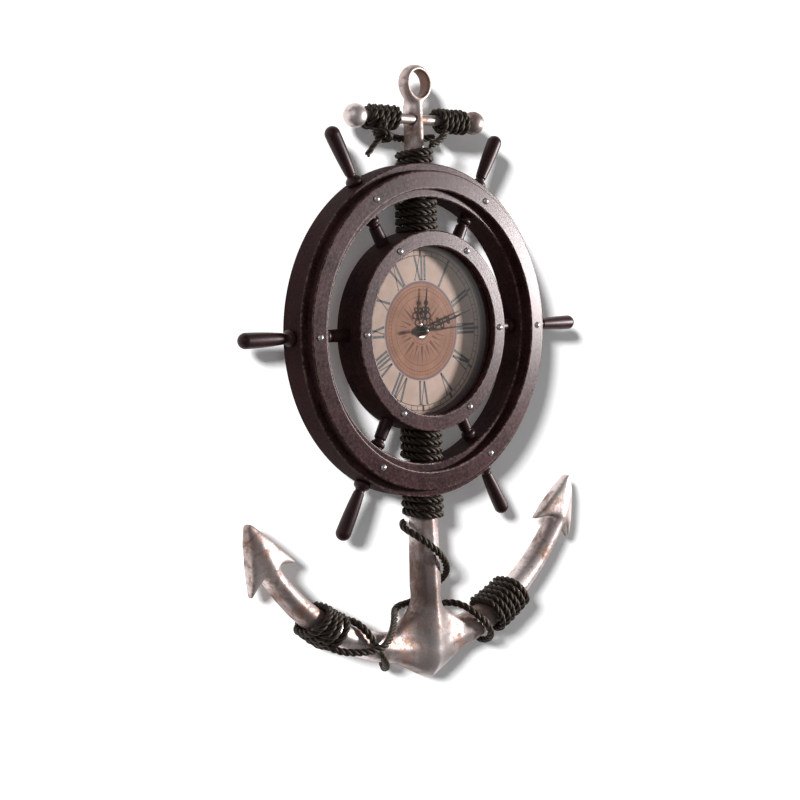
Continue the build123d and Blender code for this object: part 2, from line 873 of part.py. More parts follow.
def roof_section(along, half_width, edge_depth, ridge_depth):
    """A gabled section across the fluke at a place along its axis."""
    plane = Plane(arm_end + fluke_axis * along, x_dir=fluke_inwards, z_dir=fluke_axis)
    with BuildSketch(plane) as section:
        Polygon(
            (-half_width, 0),
            (half_width, 0),
            (half_width, edge_depth),
            (0, ridge_depth),
            (-half_width, edge_depth),
            align=None,
        )
    return section.sketch


with BuildPart() as fluke:
    with BuildSketch(fluke_plan) as plan:
        Polygon(
            (fluke_length, 0),
            (-fluke_sweep, fluke_half_width),
            (fluke_notch, fluke_root_half_width),
            (fluke_notch, -fluke_root_half_width),
            (-fluke_sweep, -fluke_half_width),
            align=None,
        )
        by_place = plan.vertices().sort_by(Axis.X)
        fillet(by_place[-1], fluke_tip_round)
        fillet(by_place[:2], fluke_barb_round)
        fillet(by_place[2:4], fluke_notch_round)
    extrude(amount=fluke_ridge_depth)
    loft(
        sections=[
            roof_section(-fluke_sweep, roof_half_width, fluke_edge_depth, fluke_ridge_depth),
            roof_section(fluke_length, tip_half_roof, fluke_tip_edge_depth, fluke_tip_ridge_depth),
        ],
        mode=Mode.INTERSECT,
    )
    front_edges = fluke.edges().filter_by(lambda edge: -edge.center().Y > fluke_tip_edge_depth / 2)
    level_edges = front_edges.filter_by(lambda edge: abs(edge.tangent_at(0.5).Y) < side_share)
    fillet(level_edges, fluke_edge_round)

with BuildPart() as arm:
    loft(sections=[arm_section(arm_start_angle + i * arm_step) for i in range(arm_stations)])
    extrude(arm_section(arm_end_angle), amount=fluke_notch + fluke_root_half_width)
    add(fluke.part)

# Lower casting of the anchor: core behind the rim, shank, crown, arms and flukes
flare_drop = crown_drop - flare_above_crown
root_drop = crown_drop - root_above_crown
fork_drop = crown_drop - fork_above_crown
bill_drop = crown_drop + bill_below_crown
tip_drop = crown_drop + tip_below_crown
with BuildPart() as anchor_base:
    loft(
        sections=[
            ridge_section(level_plane(-base_bottom), lower_half_width, lower_depth),
            ridge_section(level_plane(-flare_drop), flare_half_width, flare_depth),
        ]
    )
    loft(
        sections=[
            ridge_section(level_plane(-flare_drop), flare_half_width, flare_depth),
            ridge_section(level_plane(-root_drop), root_half_width, root_depth),
            ridge_section(level_plane(-fork_drop), fork_half_width, fork_depth),
            ridge_section(level_plane(-crown_drop), crown_half_width, crown_depth),
        ]
    )
    loft(
        sections=[
            ridge_section(level_plane(-crown_drop), crown_half_width, crown_depth),
            ridge_section(level_plane(-bill_drop), bill_half_width, bill_depth),
            ridge_section(level_plane(-tip_drop), tip_half_width, tip_depth),
        ]
    )
    add(arm.part)
    mirror(arm.part, about=Plane.YZ)
    lower_core = ridge_section(level_plane(-base_bottom), core_half_width, core_depth)
    extrude(lower_core, amount=base_bottom - rim_radius - notch_fit)
    passage = ridge_section(level_plane(-rim_radius - notch_fit), notch_half_width, notch_depth)
    extrude(passage, amount=rim_radius + notch_fit - rim_clear_radius)
    core = ridge_section(level_plane(-rim_clear_radius), core_half_width, core_depth)
    extrude(core, amount=rim_clear_radius - case_radius + core_half_width)
    with Locations(front_plane(core_depth)):
        Cylinder(case_radius + fit, 2 * core_depth + 2 * overrun, mode=Mode.SUBTRACT)
    with BuildSketch(end_plane(-90, case_radius, anchor_screw_behind)):
        Circle(anchor_screw_radius + fit)
    extrude(amount=anchor_screw_seat + anchor_screw_length + fit - case_radius, mode=Mode.SUBTRACT)
save(anchor_base.part, "anchor_base")

# Rope wound on the stock, the shank and the arms
for name, side in (("rope_stock_left", -1), ("rope_stock_right", 1)):
    places = [side * (stock_rope_start + rope_radius + i * turn_pitch) for i in range(stock_turns)]
    with BuildPart(stock_plane) as turns:
        with Locations(*[(0, 0, place) for place in places]):
            Torus(stock_radius + rope_offset, rope_radius)
    save(turns.part, name)

save(shank_lashing(rim_radius + rope_gap, 1, neck_turns, neck_half_width, neck_depth), "rope_neck")
gap_start = case_radius + (rim_clear_radius - case_radius - gap_turns * turn_pitch) / 2
save(shank_lashing(gap_start, 1, gap_turns, core_half_width, core_depth), "rope_upper")
save(shank_lashing(-gap_start, -1, gap_turns, core_half_width, core_depth), "rope_lower")
save(shank_lashing(-rim_radius - rope_gap, -1, base_turns, core_half_width, core_depth), "rope_base")
save(arm_lashing(arm_rope_angle_right, arm_turns_right), "rope_arm_right")
with BuildPart() as rope_arm_left:
    mirror(arm_lashing(arm_rope_angle_left, arm_turns_left), about=Plane.YZ)
save(rope_arm_left.part, "rope_arm_left")

# Rope between the lashings
with BuildPart() as rope_bridle:
    add(rope_run("front strand", front_strand_route, rope_radius))
    add(rope_run("bridle", bridle_route, rope_radius))
save(rope_bridle.part, "rope_bridle")
save(rope_run("shank strand", shank_strand_route, rope_radius), "rope_shank_strand")
with BuildPart() as rope_crown_turns:
    add(rope_run("crown loop", crown_loop_route, rope_radius))
    add(rope_run("arm turn", arm_turn_route, rope_radius))
save(rope_crown_turns.part, "rope_crown_turns")
save(rope_run("tail", tail_route, tail_radius), "rope_tail")

# Movement: shell with the battery bay and the bushing, and its cover
movement_front = board_back
movement_back = movement_front - movement_depth
half_movement = movement_width / 2
inner_width = movement_width - 2 * movement_wall
chamber_front = movement_front - movement_wall
chamber_back = movement_back + movement_wall
bay_top = movement_wall + bay_height - half_movement
bay_middle = bay_top - bay_height / 2
chamber_bottom = bay_top + movement_wall
chamber_top = half_movement - movement_wall
cover_height = half_movement - bay_top
cover_middle = (half_movement + bay_top) / 2
with BuildPart() as movement_case:
    with BuildSketch(front_plane(movement_back)):
        RectangleRounded(movement_width, movement_width, movement_round)
    extrude(amount=movement_depth)
    with BuildSketch(front_plane(movement_back)):
        with Locations((0, (chamber_top + chamber_bottom) / 2)):
            Rectangle(inner_width, chamber_top - chamber_bottom)
        with Locations((0, bay_middle)):
            Rectangle(inner_width, bay_height)
    extrude(amount=movement_depth - movement_wall, mode=Mode.SUBTRACT)
    with BuildSketch(front_plane(movement_back)):
        with Locations((0, cover_middle)):
            Rectangle(movement_width, cover_height)
    extrude(amount=movement_wall, mode=Mode.SUBTRACT)
    with BuildSketch(front_plane(movement_front)):
        Circle(bushing_radius)
    extrude(amount=bushing_length)
    with BuildSketch(front_plane(movement_front + bushing_length)):
        Circle(bushing_bore_radius)
    extrude(amount=-(bushing_length + movement_wall + overrun), mode=Mode.SUBTRACT)
    for distance, bearing, radius in (
        (motion_distance, motion_bearing, motion_arbor_radius),
        (third_distance, third_bearing, third_arbor_radius),
    ):
        with BuildSketch(movement_plane(chamber_front, distance, bearing)):
            Circle(radius + running_fit)
        extrude(amount=pivot_depth + running_fit, mode=Mode.SUBTRACT)
save(movement_case.part, "movement_case")

with BuildPart() as movement_cover:
    with BuildSketch(front_plane(movement_back)):
        RectangleRounded(movement_width, movement_width, movement_round)
        with Locations((0, cover_middle)):
            Rectangle(movement_width, cover_height, mode=Mode.INTERSECT)
    extrude(amount=movement_wall)
    with BuildSketch(movement_plane(movement_back, motion_distance, motion_bearing)):
        Circle(motion_arbor_radius + running_fit)
    extrude(amount=movement_wall, mode=Mode.SUBTRACT)
    for distance, radius in ((third_distance, third_arbor_radius), (0, second_arbor_radius)):
        with BuildSketch(movement_plane(chamber_back, distance, third_bearing)):
            Circle(radius + running_fit)
        extrude(amount=-(pivot_depth + running_fit), mode=Mode.SUBTRACT)
save(movement_cover.part, "movement_cover")

with BuildPart() as washer:
    with BuildSketch(front_plane(dial_recess)):
        Circle(washer_radius)
        Circle(bushing_radius + fit, mode=Mode.SUBTRACT)
    extrude(amount=washer_thickness)
save(washer.part, "washer")

with BuildPart() as fixing_nut:
    with BuildSketch(front_plane(dial_recess + washer_thickness)):
        RegularPolygon(nut_width / 2, 6, major_radius=False)
        Circle(bushing_radius + fit, mode=Mode.SUBTRACT)
    extrude(amount=nut_thickness)
save(fixing_nut.part, "fixing_nut")

# Cell, its contacts, the motor and the circuit board
cell_depth = chamber_front - battery_radius - fit
cell_length = battery_length + battery_button_length
bump_height = (inner_width - 2 * contact_thickness - cell_length) / 2 - fit
cell_plane = Plane((-cell_length / 2, -cell_depth, wheel_z + bay_middle), z_dir=(1, 0, 0))
with BuildPart() as battery_cell:
    with BuildSketch(cell_plane):
        Circle(battery_radius)
    extrude(amount=battery_length)
    fillet(battery_cell.edges(), battery_round)
    with BuildSketch(cell_plane.offset(battery_length)):
        Circle(battery_button_radius)
    extrude(amount=battery_button_length)
save(battery_cell.part, "battery_cell")

with BuildPart() as battery_contacts:
    for side in (1, -1):
        wall = Plane((side * inner_width / 2, -cell_depth, wheel_z + bay_middle), z_dir=(-side, 0, 0))
        with BuildSketch(wall):
            Rectangle(contact_width, contact_width)
        extrude(amount=contact_thickness)
        with BuildSketch(wall):
            Circle(contact_bump_radius)
        extrude(amount=contact_thickness + bump_height)
save(battery_contacts.part, "battery_contacts")

motor_x = (motor_width - inner_width) / 2 + motor_inset
with BuildPart() as stepper_motor:
    with BuildSketch(front_plane(chamber_front)):
        with Locations((motor_x, chamber_top - motor_inset - motor_height / 2)):
            RectangleRounded(motor_width, motor_height, motor_round)
    extrude(amount=-motor_depth)
save(stepper_motor.part, "stepper_motor")

with BuildPart() as circuit_board:
    with BuildSketch(front_plane(chamber_front)):
        with Locations(((inner_width - circuit_width) / 2 - motor_inset, 0)):
            Rectangle(circuit_width, circuit_height)
    extrude(amount=-circuit_thickness)
save(circuit_board.part, "circuit_board")

# Train of the movement, from the dial's side to the back, one layer for each pair that meshes
pinion_extra = (pinion_thickness - wheel_thickness) / 2
layer_step = wheel_thickness + layer_gap + pinion_extra
hour_layer = chamber_front - layer_gap
motion_layer = hour_layer - layer_step
centre_layer = motion_layer - layer_step
third_layer = centre_layer - layer_step
second_layer = third_layer - layer_step
hour_hand_depth = movement_front + bushing_length + hand_thickness
minute_hand_depth = hour_hand_depth + hand_thickness + hand_gap
second_hand_depth = minute_hand_depth + hand_thickness + hand_gap
pivot_front = chamber_front + pivot_depth
pivot_back = chamber_back - pivot_depth
motion_module = wheel_module(motion_distance, cannon_teeth, motion_wheel_teeth)
hour_module = wheel_module(motion_distance, motion_pinion_teeth, hour_wheel_teeth)
centre_module = wheel_module(third_distance, centre_wheel_teeth, third_pinion_teeth)
third_module = wheel_module(third_distance, third_wheel_teeth, second_pinion_teeth)
second_module = 2 * second_wheel_radius / second_wheel_teeth

hour_teeth = toothed_disc(front_plane(hour_layer), hour_wheel_teeth, hour_module, motion_bearing)
hour_pipe_back = hour_layer - wheel_thickness
hour_pipe_length = hour_hand_depth + hand_thickness - hour_pipe_back
with BuildPart() as hour_wheel:
    extrude(hour_teeth, amount=-wheel_thickness)
    with BuildSketch(front_plane(hour_pipe_back)):
        Circle(hour_pipe_radius)
    extrude(amount=hour_pipe_length)
    with BuildSketch(front_plane(hour_pipe_back)):
        Circle(minute_pipe_radius + running_fit)
    extrude(amount=hour_pipe_length, mode=Mode.SUBTRACT)
save(hour_wheel.part, "hour_wheel")

centre_teeth = toothed_disc(front_plane(centre_layer), centre_wheel_teeth, centre_module, third_bearing)
cannon_front = front_plane(motion_layer + pinion_extra)
cannon_leaves = toothed_disc(cannon_front, cannon_teeth, motion_module, motion_bearing)
minute_pipe_back = centre_layer - wheel_thickness
minute_pipe_length = minute_hand_depth + hand_thickness - minute_pipe_back
with BuildPart() as centre_wheel:
    extrude(centre_teeth, amount=-wheel_thickness)
    extrude(cannon_leaves, amount=-pinion_thickness)
    with BuildSketch(front_plane(minute_pipe_back)):
        Circle(minute_pipe_radius)
    extrude(amount=minute_pipe_length)
    with BuildSketch(front_plane(minute_pipe_back)):
        Circle(second_arbor_radius + running_fit)
    extrude(amount=minute_pipe_length, mode=Mode.SUBTRACT)
save(centre_wheel.part, "centre_wheel")


def geared_arbor(distance, bearing, wheel, pinion, radius, front, back):
    """A wheel and a pinion moulded on one arbor."""
    with BuildPart() as moulding:
        for layer, thickness, teeth, module, tooth_angle in (wheel, pinion):
            plane = movement_plane(layer, distance, bearing)
            extrude(toothed_disc(plane, teeth, module, tooth_angle), amount=-thickness)
        with BuildSketch(movement_plane(front, distance, bearing)):
            Circle(radius)
        extrude(amount=back - front)
    return moulding.part


tooth_angle = third_bearing + 180 + 180 / third_wheel_teeth
leaf_angle = third_bearing + 180 + 180 / third_pinion_teeth
wheel = (third_layer, wheel_thickness, third_wheel_teeth, third_module, tooth_angle)
pinion = (centre_layer + pinion_extra, pinion_thickness, third_pinion_teeth, centre_module, leaf_angle)
arbor = (third_arbor_radius, pivot_front, pivot_back)
save(geared_arbor(third_distance, third_bearing, wheel, pinion, *arbor), "third_wheel")

wheel = (second_layer, wheel_thickness, second_wheel_teeth, second_module, third_bearing)
pinion = (third_layer + pinion_extra, pinion_thickness, second_pinion_teeth, third_module, third_bearing)
arbor = (second_arbor_radius, second_hand_depth + hand_thickness, pivot_back)
save(geared_arbor(0, third_bearing, wheel, pinion, *arbor), "second_wheel")

knob_front = movement_back - knob_gap
tooth_angle = motion_bearing + 180 + 180 / motion_wheel_teeth
leaf_angle = motion_bearing + 180 + 180 / motion_pinion_teeth
wheel = (motion_layer, wheel_thickness, motion_wheel_teeth, motion_module, tooth_angle)
pinion = (hour_layer + pinion_extra, pinion_thickness, motion_pinion_teeth, hour_module, leaf_angle)
arbor = (motion_arbor_radius, pivot_front, knob_front - knob_thickness)
save(geared_arbor(motion_distance, motion_bearing, wheel, pinion, *arbor), "motion_wheel")

with BuildPart() as setting_knob:
    with BuildSketch(movement_plane(knob_front, motion_distance, motion_bearing)):
        Circle(knob_radius)
        Circle(motion_arbor_radius + fit, mode=Mode.SUBTRACT)
        with PolarLocations(knob_radius, knob_flutes):
            Circle(knob_flute_radius, mode=Mode.SUBTRACT)
    extrude(amount=-knob_thickness)
save(setting_knob.part, "setting_knob")


def hand_plane(depth, clockwise):
    """A plane that faces the room, with Y along a hand turned clockwise from twelve."""
    return Plane((0, -depth, wheel_z), x_dir=outward(-clockwise), z_dir=(0, -1, 0))


def scrolled_hand(depth, clockwise, length, boss_radius, bore_radius, scroll_radius):
    """An openwork hand: a ring, two pairs of scrolls, a bead and a fine tip."""
    small_radius = scroll_radius * small_scroll_share
    ring_y = length * ring_share
    lower_y = length * lower_scroll_share
    upper_y = length * upper_scroll_share
    bead_y = length * bead_share
    rings = [
        (0, ring_y, scroll_radius),
        (scroll_radius, lower_y, scroll_radius),
        (-scroll_radius, lower_y, scroll_radius),
        (small_radius, upper_y, small_radius),
        (-small_radius, upper_y, small_radius),
    ]
    with BuildPart() as hand:
        with BuildSketch(hand_plane(depth, clockwise)):
            Circle(boss_radius)
            with Locations((0, bead_y / 2)):
                Rectangle(hand_stem_width, bead_y)
            for x, y, radius in rings:
                with Locations((x, y)):
                    Circle(radius)
            with Locations((0, bead_y)):
                Circle(small_radius)
            Polygon(
                (-hand_stem_width / 2, bead_y),
                (hand_stem_width / 2, bead_y),
                (hand_tip_width / 2, length),
                (-hand_tip_width / 2, length),
                align=None,
            )
            for x, y, radius in rings:
                with Locations((x, y)):
                    Circle(radius - scroll_wall, mode=Mode.SUBTRACT)
            Circle(bore_radius, mode=Mode.SUBTRACT)
        extrude(amount=hand_thickness)
    return hand.part


# Hands
hand = (hour_hand_length, hour_boss_radius, hour_pipe_radius + fit, hour_scroll_radius)
save(scrolled_hand(hour_hand_depth, hour_hand_angle, *hand), "hour_hand")
hand = (minute_hand_length, minute_boss_radius, minute_pipe_radius + fit, minute_scroll_radius)
save(scrolled_hand(minute_hand_depth, minute_hand_angle, *hand), "minute_hand")

with BuildPart() as second_hand:
    with BuildSketch(hand_plane(second_hand_depth, second_hand_angle)):
        Circle(second_boss_radius)
        with Locations((0, (second_hand_length - second_tail_length) / 2)):
            Rectangle(second_width, second_hand_length + second_tail_length)
        with Locations((0, -second_tail_length * small_scroll_share)):
            Ellipse(second_weight_width / 2, second_tail_length * (1 - small_scroll_share))
        Circle(second_arbor_radius + fit, mode=Mode.SUBTRACT)
    extrude(amount=hand_thickness)
save(second_hand.part, "second_hand")
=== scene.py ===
"""Dresses a wall clock: a stained ship's wheel, a silvered anchor, laid rope and a printed dial."""

import math

import bmesh
import bpy
from bpy.props import FloatProperty, FloatVectorProperty, IntProperty, PointerProperty
from mathutils import Matrix, Vector


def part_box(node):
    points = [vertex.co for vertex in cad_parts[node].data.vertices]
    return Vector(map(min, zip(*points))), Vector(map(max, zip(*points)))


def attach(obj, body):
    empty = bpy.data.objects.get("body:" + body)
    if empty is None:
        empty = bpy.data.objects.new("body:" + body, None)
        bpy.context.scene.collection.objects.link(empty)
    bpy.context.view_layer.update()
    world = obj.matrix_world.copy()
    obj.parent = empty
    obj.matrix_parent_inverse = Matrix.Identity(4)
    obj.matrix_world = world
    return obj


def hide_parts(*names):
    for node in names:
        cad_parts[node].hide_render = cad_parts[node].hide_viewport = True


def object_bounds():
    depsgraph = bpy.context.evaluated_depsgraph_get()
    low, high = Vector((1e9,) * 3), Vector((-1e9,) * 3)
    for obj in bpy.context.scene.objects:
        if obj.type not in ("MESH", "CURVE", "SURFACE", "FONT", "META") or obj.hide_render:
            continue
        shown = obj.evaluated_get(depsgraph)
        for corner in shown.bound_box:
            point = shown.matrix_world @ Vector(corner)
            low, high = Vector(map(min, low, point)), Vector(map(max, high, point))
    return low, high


bl_info = {
    "name": "Ship's Wheel Clock",
    "version": (1, 0, 0),
    "blender": (4, 5, 0),
    "location": "View3D > Sidebar > Clock",
    "description": "Finishes, rope, dial print and stage of a wall clock in a ship's wheel on an anchor",
    "category": "Object",
}

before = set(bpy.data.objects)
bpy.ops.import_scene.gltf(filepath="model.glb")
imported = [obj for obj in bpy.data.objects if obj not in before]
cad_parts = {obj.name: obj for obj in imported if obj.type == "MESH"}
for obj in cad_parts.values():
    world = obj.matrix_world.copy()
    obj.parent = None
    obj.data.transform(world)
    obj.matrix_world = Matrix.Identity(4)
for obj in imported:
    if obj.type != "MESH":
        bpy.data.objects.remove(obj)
cad_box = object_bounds()

MM = 0.001
BODY = "clock"
WHITE = (1.0, 1.0, 1.0, 1.0)

# Places on the clock, in mm from the hanger's hole
WHEEL_Z = -220.0  # middle of the wheel
EYE_Z = 37.7  # middle of the eye
ROD_Y = -13.0  # axis of the stock's rod
ROD_Z = 1.0
FLUKE_ENDS = ((234.0, -397.0), (174.5, -444.0), (231.5, -473.0))  # tip and barbs, to the side and up
FLUKE_MIDDLE = -8.5  # middle of a fluke's depth at its ends


def tone(red, green, blue):
    """A display colour of 0 to 255 as scene-linear values."""

    def linear(level):
        level /= 255
        return level / 12.92 if level <= 0.04045 else ((level + 0.055) / 1.055) ** 2.4

    return linear(red), linear(green), linear(blue)


def colour(name, description, *levels):
    """A colour property with a display colour as its default."""
    return FloatVectorProperty(
        name=name,
        description=description,
        subtype="COLOR",
        size=3,
        min=0.0,
        max=1.0,
        default=tone(*levels),
    )


def scaled(shade, share):
    """A colour made darker or lighter by a share."""
    return tuple(level * share for level in shade)


def length(name, description, millimetres):
    """A length property with a default in millimetres."""
    return FloatProperty(name=name, description=description, unit="LENGTH", default=millimetres * MM)


def part_of_one(name, description, default):
    """A property that is a share from 0 to 1."""
    return FloatProperty(
        name=name, description=description, subtype="FACTOR", min=0.0, max=1.0, default=default
    )


def power(name, description, watts):
    """A lamp's power."""
    return FloatProperty(name=name, description=description, unit="POWER", default=watts)


class ClockWood(bpy.types.PropertyGroup):
    """Stained wood of the wheel, the drum, the spokes and the handles."""

    face: colour("Face", "Stain on the rim, the facing and the bezel", 76, 48, 48)
    dark: colour("Dark grain", "Stain in the pores and the low places", 36, 17, 18)
    worn: colour("Worn edge", "Wood where the stain has rubbed off", 168, 142, 134)
    turned: colour("Turned", "Stain on the spokes and the handles", 58, 28, 28)


class ClockSilver(bpy.types.PropertyGroup):
    """Silver leaf of the anchor and its stock."""

    leaf: colour("Leaf", "Bright silver leaf", 222, 209, 206)
    dull: colour("Dull leaf", "Leaf that has gone dull", 162, 146, 144)
    bole: colour("Bole", "Red-brown ground that shows where the leaf has worn", 150, 106, 82)
    # The stain colour is also the painted shade beside the crown's ridge, in the eye's bore and on the
    # shank behind the wheel
    stain: colour("Stain", "Dark wax in the hollows", 58, 46, 42)
    voxel: length("Cast grain", "Step of the soft casting skin", 1.3)
    rounds: IntProperty(
        name="Rounds", description="Rounds of hand smoothing on the castings", default=60, min=1
    )
    hollow: part_of_one("Hollow", "Share of the depth hollowed beside the crown's ridge", 0.24)
    thin: part_of_one("Thin", "Share of the depth rubbed off the flukes' ends", 0.42)
    thin_reach: length("Thinned reach", "How far the flukes are thinned from their ends", 24.0)


class ClockRope(bpy.types.PropertyGroup):
    """Three-strand rope of the lashings."""

    fibre: colour("Fibre", "Rope fibre", 31, 25, 22)
    # Painted highlight: lighter brown flecks laid at random on the fibre as glints
    painted_glint: colour("Glint", "Brown fibres on the crowns of the strands", 104, 80, 62)
    radius: length("Radius", "Outside radius of the rope", 4.0)
    tail_radius: length("Tail radius", "Outside radius of the free end", 3.2)
    lay: length("Lay", "Length in which a strand goes once round", 21.0)


class ClockDial(bpy.types.PropertyGroup):
    """Print on the dial."""

    cream: colour("Cream", "Paper of the hour ring", 201, 174, 160)
    copper: colour("Copper", "Ground of the middle disc", 165, 122, 102)
    line: colour("Line", "Lines of the compass rose", 92, 60, 50)
    border: colour("Border", "Ring round the middle disc", 112, 96, 104)
    ink: colour("Ink", "Numerals and minute marks", 34, 33, 39)
    disc_radius: length("Disc", "Radius of the middle disc", 51.3)
    numeral_radius: length("Numerals", "Middle of the numerals from the dial's axis", 65.8)
    numeral_height: length("Height", "Height of the numerals", 24.6)
    track_inner: length("Track inside", "Inner ring of the minute track", 79.6)
    track_outer: length("Track outside", "Outer ring of the minute track", 84.8)
    minutes: IntProperty(name="Minutes", description="Marks round the minute track", default=60, min=12)


class ClockStage(bpy.types.PropertyGroup):
    """Camera and lamps."""

    key: power("Key", "Power of the lamp on the right", 52.0)
    fill: power("Fill", "Power of the lamp on the left", 5.0)
    back: power("Back", "Power of the lamp behind", 7.0)
    wall: FloatProperty(name="Wall", description="Strength of the wall's own sun", default=6.2)
    ambient: FloatProperty(name="Ambient", description="Strength of the surroundings", default=0.2)
    lens: FloatProperty(name="Lens", description="Focal length in mm on a 36 mm sensor", default=69.94)


class Value:
    """A node's socket that takes part in Python expressions."""

    def __init__(self, finish, socket):
        self.finish = finish
        self.socket = socket

    def math(self, operation, *others):
        """A Math node on this value and others."""
        values = dict(enumerate((self, *others)))
        return self.finish.node("ShaderNodeMath", {"operation": operation}, values)

    def __add__(self, other):
        return self.math("ADD", other)

    __radd__ = __add__

    def __sub__(self, other):
        return self.math("SUBTRACT", other)

    def __rsub__(self, other):
        return self * -1 + other

    def __mul__(self, other):
        return self.math("MULTIPLY", other)

    __rmul__ = __mul__

    def __truediv__(self, other):
        return self.math("DIVIDE", other)

    def __abs__(self):
        return self.math("ABSOLUTE")

    def root(self):
        return self.math("SQRT")

    def fraction(self):
        return self.math("FRACT")

    def hypot(self, other):
        """The distance that two sides at a right angle make."""
        return (self * self + other * other).root()

    def most(self, other):
        return self.math("MAXIMUM", other)

    def least(self, other):
        return self.math("MINIMUM", other)

    def ramp(self, low, high, start=0.0, end=1.0):
        """A soft step from start to end as this value goes from low to high."""
        settings = {"interpolation_type": "SMOOTHSTEP"}
        sockets = {"Value": self, "From Min": low, "From Max": high, "To Min": start, "To Max": end}
        return self.finish.node("ShaderNodeMapRange", settings, sockets)

    def fade(self, low, high):
        """1 up to a low value, and 0 from a high one."""
        return self.ramp(low, high, 1.0, 0.0)


class Finish:
    """The nodes of one material, or of a world. Each comes from node()."""

    def __init__(self, name, store="materials"):
        self.owner = getattr(bpy.data, store).new(name)
        self.owner.use_nodes = True
        self.tree = self.owner.node_tree
        self.tree.nodes.clear()

    def node(self, kind, settings=None, sockets=None, out=0):
        """Adds a node: its settings first, then the values or links of its sockets."""
        made = self.tree.nodes.new(kind)
        for key, value in (settings or {}).items():
            setattr(made, key, value)
        for key, value in (sockets or {}).items():
            if isinstance(value, Value):
                self.tree.links.new(value.socket, made.inputs[key])
            else:
                made.inputs[key].default_value = value
        return Value(self, made.outputs[out]) if made.outputs else made

    def place(self):
        """Object coordinates, in metres."""
        return self.node("ShaderNodeTexCoord", out="Object")

    def parts(self, vector):
        """The three components of a vector."""
        split = self.node("ShaderNodeSeparateXYZ", None, {0: vector}).socket.node
        return [Value(self, socket) for socket in split.outputs]

    def vector(self, x, y, z):
        return self.node("ShaderNodeCombineXYZ", None, {0: x, 1: y, 2: z})

    def noise(self, vector, scale, detail=4.0, roughness=0.55, distortion=0.0):
        """A noise value about 0.5."""
        sockets = {
            "Vector": vector,
            "Scale": scale,
            "Detail": detail,
            "Roughness": roughness,
            "Distortion": distortion,
        }
        return self.node("ShaderNodeTexNoise", None, sockets)

    def blend(self, mask, low, high):
        """A colour between two others."""
        low, high = ((*c, 1.0) if isinstance(c, tuple) else c for c in (low, high))
        return self.node("ShaderNodeMix", {"data_type": "RGBA"}, {0: mask, 6: low, 7: high}, out=2)

    def bump(self, height, strength, distance):
        sockets = {"Height": height, "Strength": strength, "Distance": distance}
        return self.node("ShaderNodeBump", None, sockets)

    def surface(self, **sockets):
        """The Principled shader, with its sockets by name."""
        named = {key.replace("_", " "): value for key, value in sockets.items()}
        shader = self.node("ShaderNodeBsdfPrincipled", None, named)
        return self.show(shader)

    def show(self, shader, output="ShaderNodeOutputMaterial"):
        """Shows a shader, and gives the material or world that it is on."""
        self.node(output, None, {"Surface": shader})
        return self.owner


# Wear on the stained wood, in mm
EDGE_RUB = (0.2, 2.6)  # from a front edge: where the rubbing is full and where it ends
FRONT_DEPTH = (2.0, 0.6)  # behind the front: where the polish of the face starts and where it is full


def stained_wood(name, wood, outer, inner, front):
    """Stained wood round the wheel, rubbed along the outer and inner radius of its front edges."""
    finish = Finish(name)
    place = finish.place()
    x, y, z = finish.parts(place)
    radius = (x / MM).hypot(z / MM - WHEEL_Z)
    depth = y / -MM
    patches = finish.noise(place, 26.0, 5.0, 0.62)
    flecks = finish.noise(place, 300.0, 5.0, 0.72)
    pores = finish.noise(place, 900.0, 3.0, 0.7)
    grain = finish.noise(finish.vector(radius * 0.9, depth * 0.9, patches * 9.0), 1.0, 4.0, 0.7)
    stain = (patches * 0.45 + grain * 0.4 + flecks * 0.6 + pores * 0.35).ramp(0.72, 1.08)
    edges = abs(radius - outer).fade(*EDGE_RUB).most(abs(radius - inner).fade(*EDGE_RUB))
    scuffs = finish.noise(place, 240.0, 6.0, 0.72, 0.6).ramp(0.44, 0.64)
    face = depth.ramp(*(front - behind for behind in FRONT_DEPTH))
    rubbed = edges * scuffs * face
    base = finish.blend(stain, tuple(wood.dark), tuple(wood.face))
    base = finish.blend(rubbed * 0.5, base, tuple(wood.worn))
    height = pores * 0.5 + flecks * 0.5 + grain * 0.4 - rubbed * 0.6
    return finish.surface(
        Base_Color=base,
        Roughness=0.8 - face * (0.64 - flecks * 0.2 - rubbed * 0.15),
        Specular_IOR_Level=0.16,
        Specular_Tint=(1.0, 0.86, 0.87, 1.0),
        Normal=finish.bump(height, 0.12, 0.0008),
    )


def turned_wood(name, wood):
    """Stained wood off the lathe, smoother and redder than the rim."""
    finish = Finish(name)
    place = finish.place()
    patches = finish.noise(place, 60.0, 4.0, 0.6)
    pores = finish.noise(place, 1100.0, 2.0, 0.6)
    stain = (patches * 0.8 + pores * 0.4).ramp(0.35, 0.95)
    return finish.surface(
        Base_Color=finish.blend(stain, tuple(wood.dark), tuple(wood.turned)),
        Roughness=0.3 + patches * 0.2,
        Specular_IOR_Level=0.3,
        Specular_Tint=(1.0, 0.86, 0.86, 1.0),
        Normal=finish.bump(pores + patches, 0.14, 0.0005),
    )


# Marks on the silver, painted shade among them, in mm: where each is full and where it has gone
CROWN_SHADE = (3.0, 22.0)  # painted shade, to each side of a line beside the crown's ridge
CROWN_SHADE_SIDE = 17.0  # that line, from the middle
CROWN_SHADE_TOP = (-470.0, -420.0)
EYE_BORE_WEAR_AND_SHADE = (14.0, 15.2)  # worn leaf and painted shade in the eye's bore, from the eye's middle
EYE_RUB = (17.0, 24.0)
SHADED_SHANK_UP = (186.0, 190.0)  # painted shade on the shank behind the wheel and under its lashings, from the wheel's middle
SHADED_SHANK_SIDE = (24.0, 30.0)


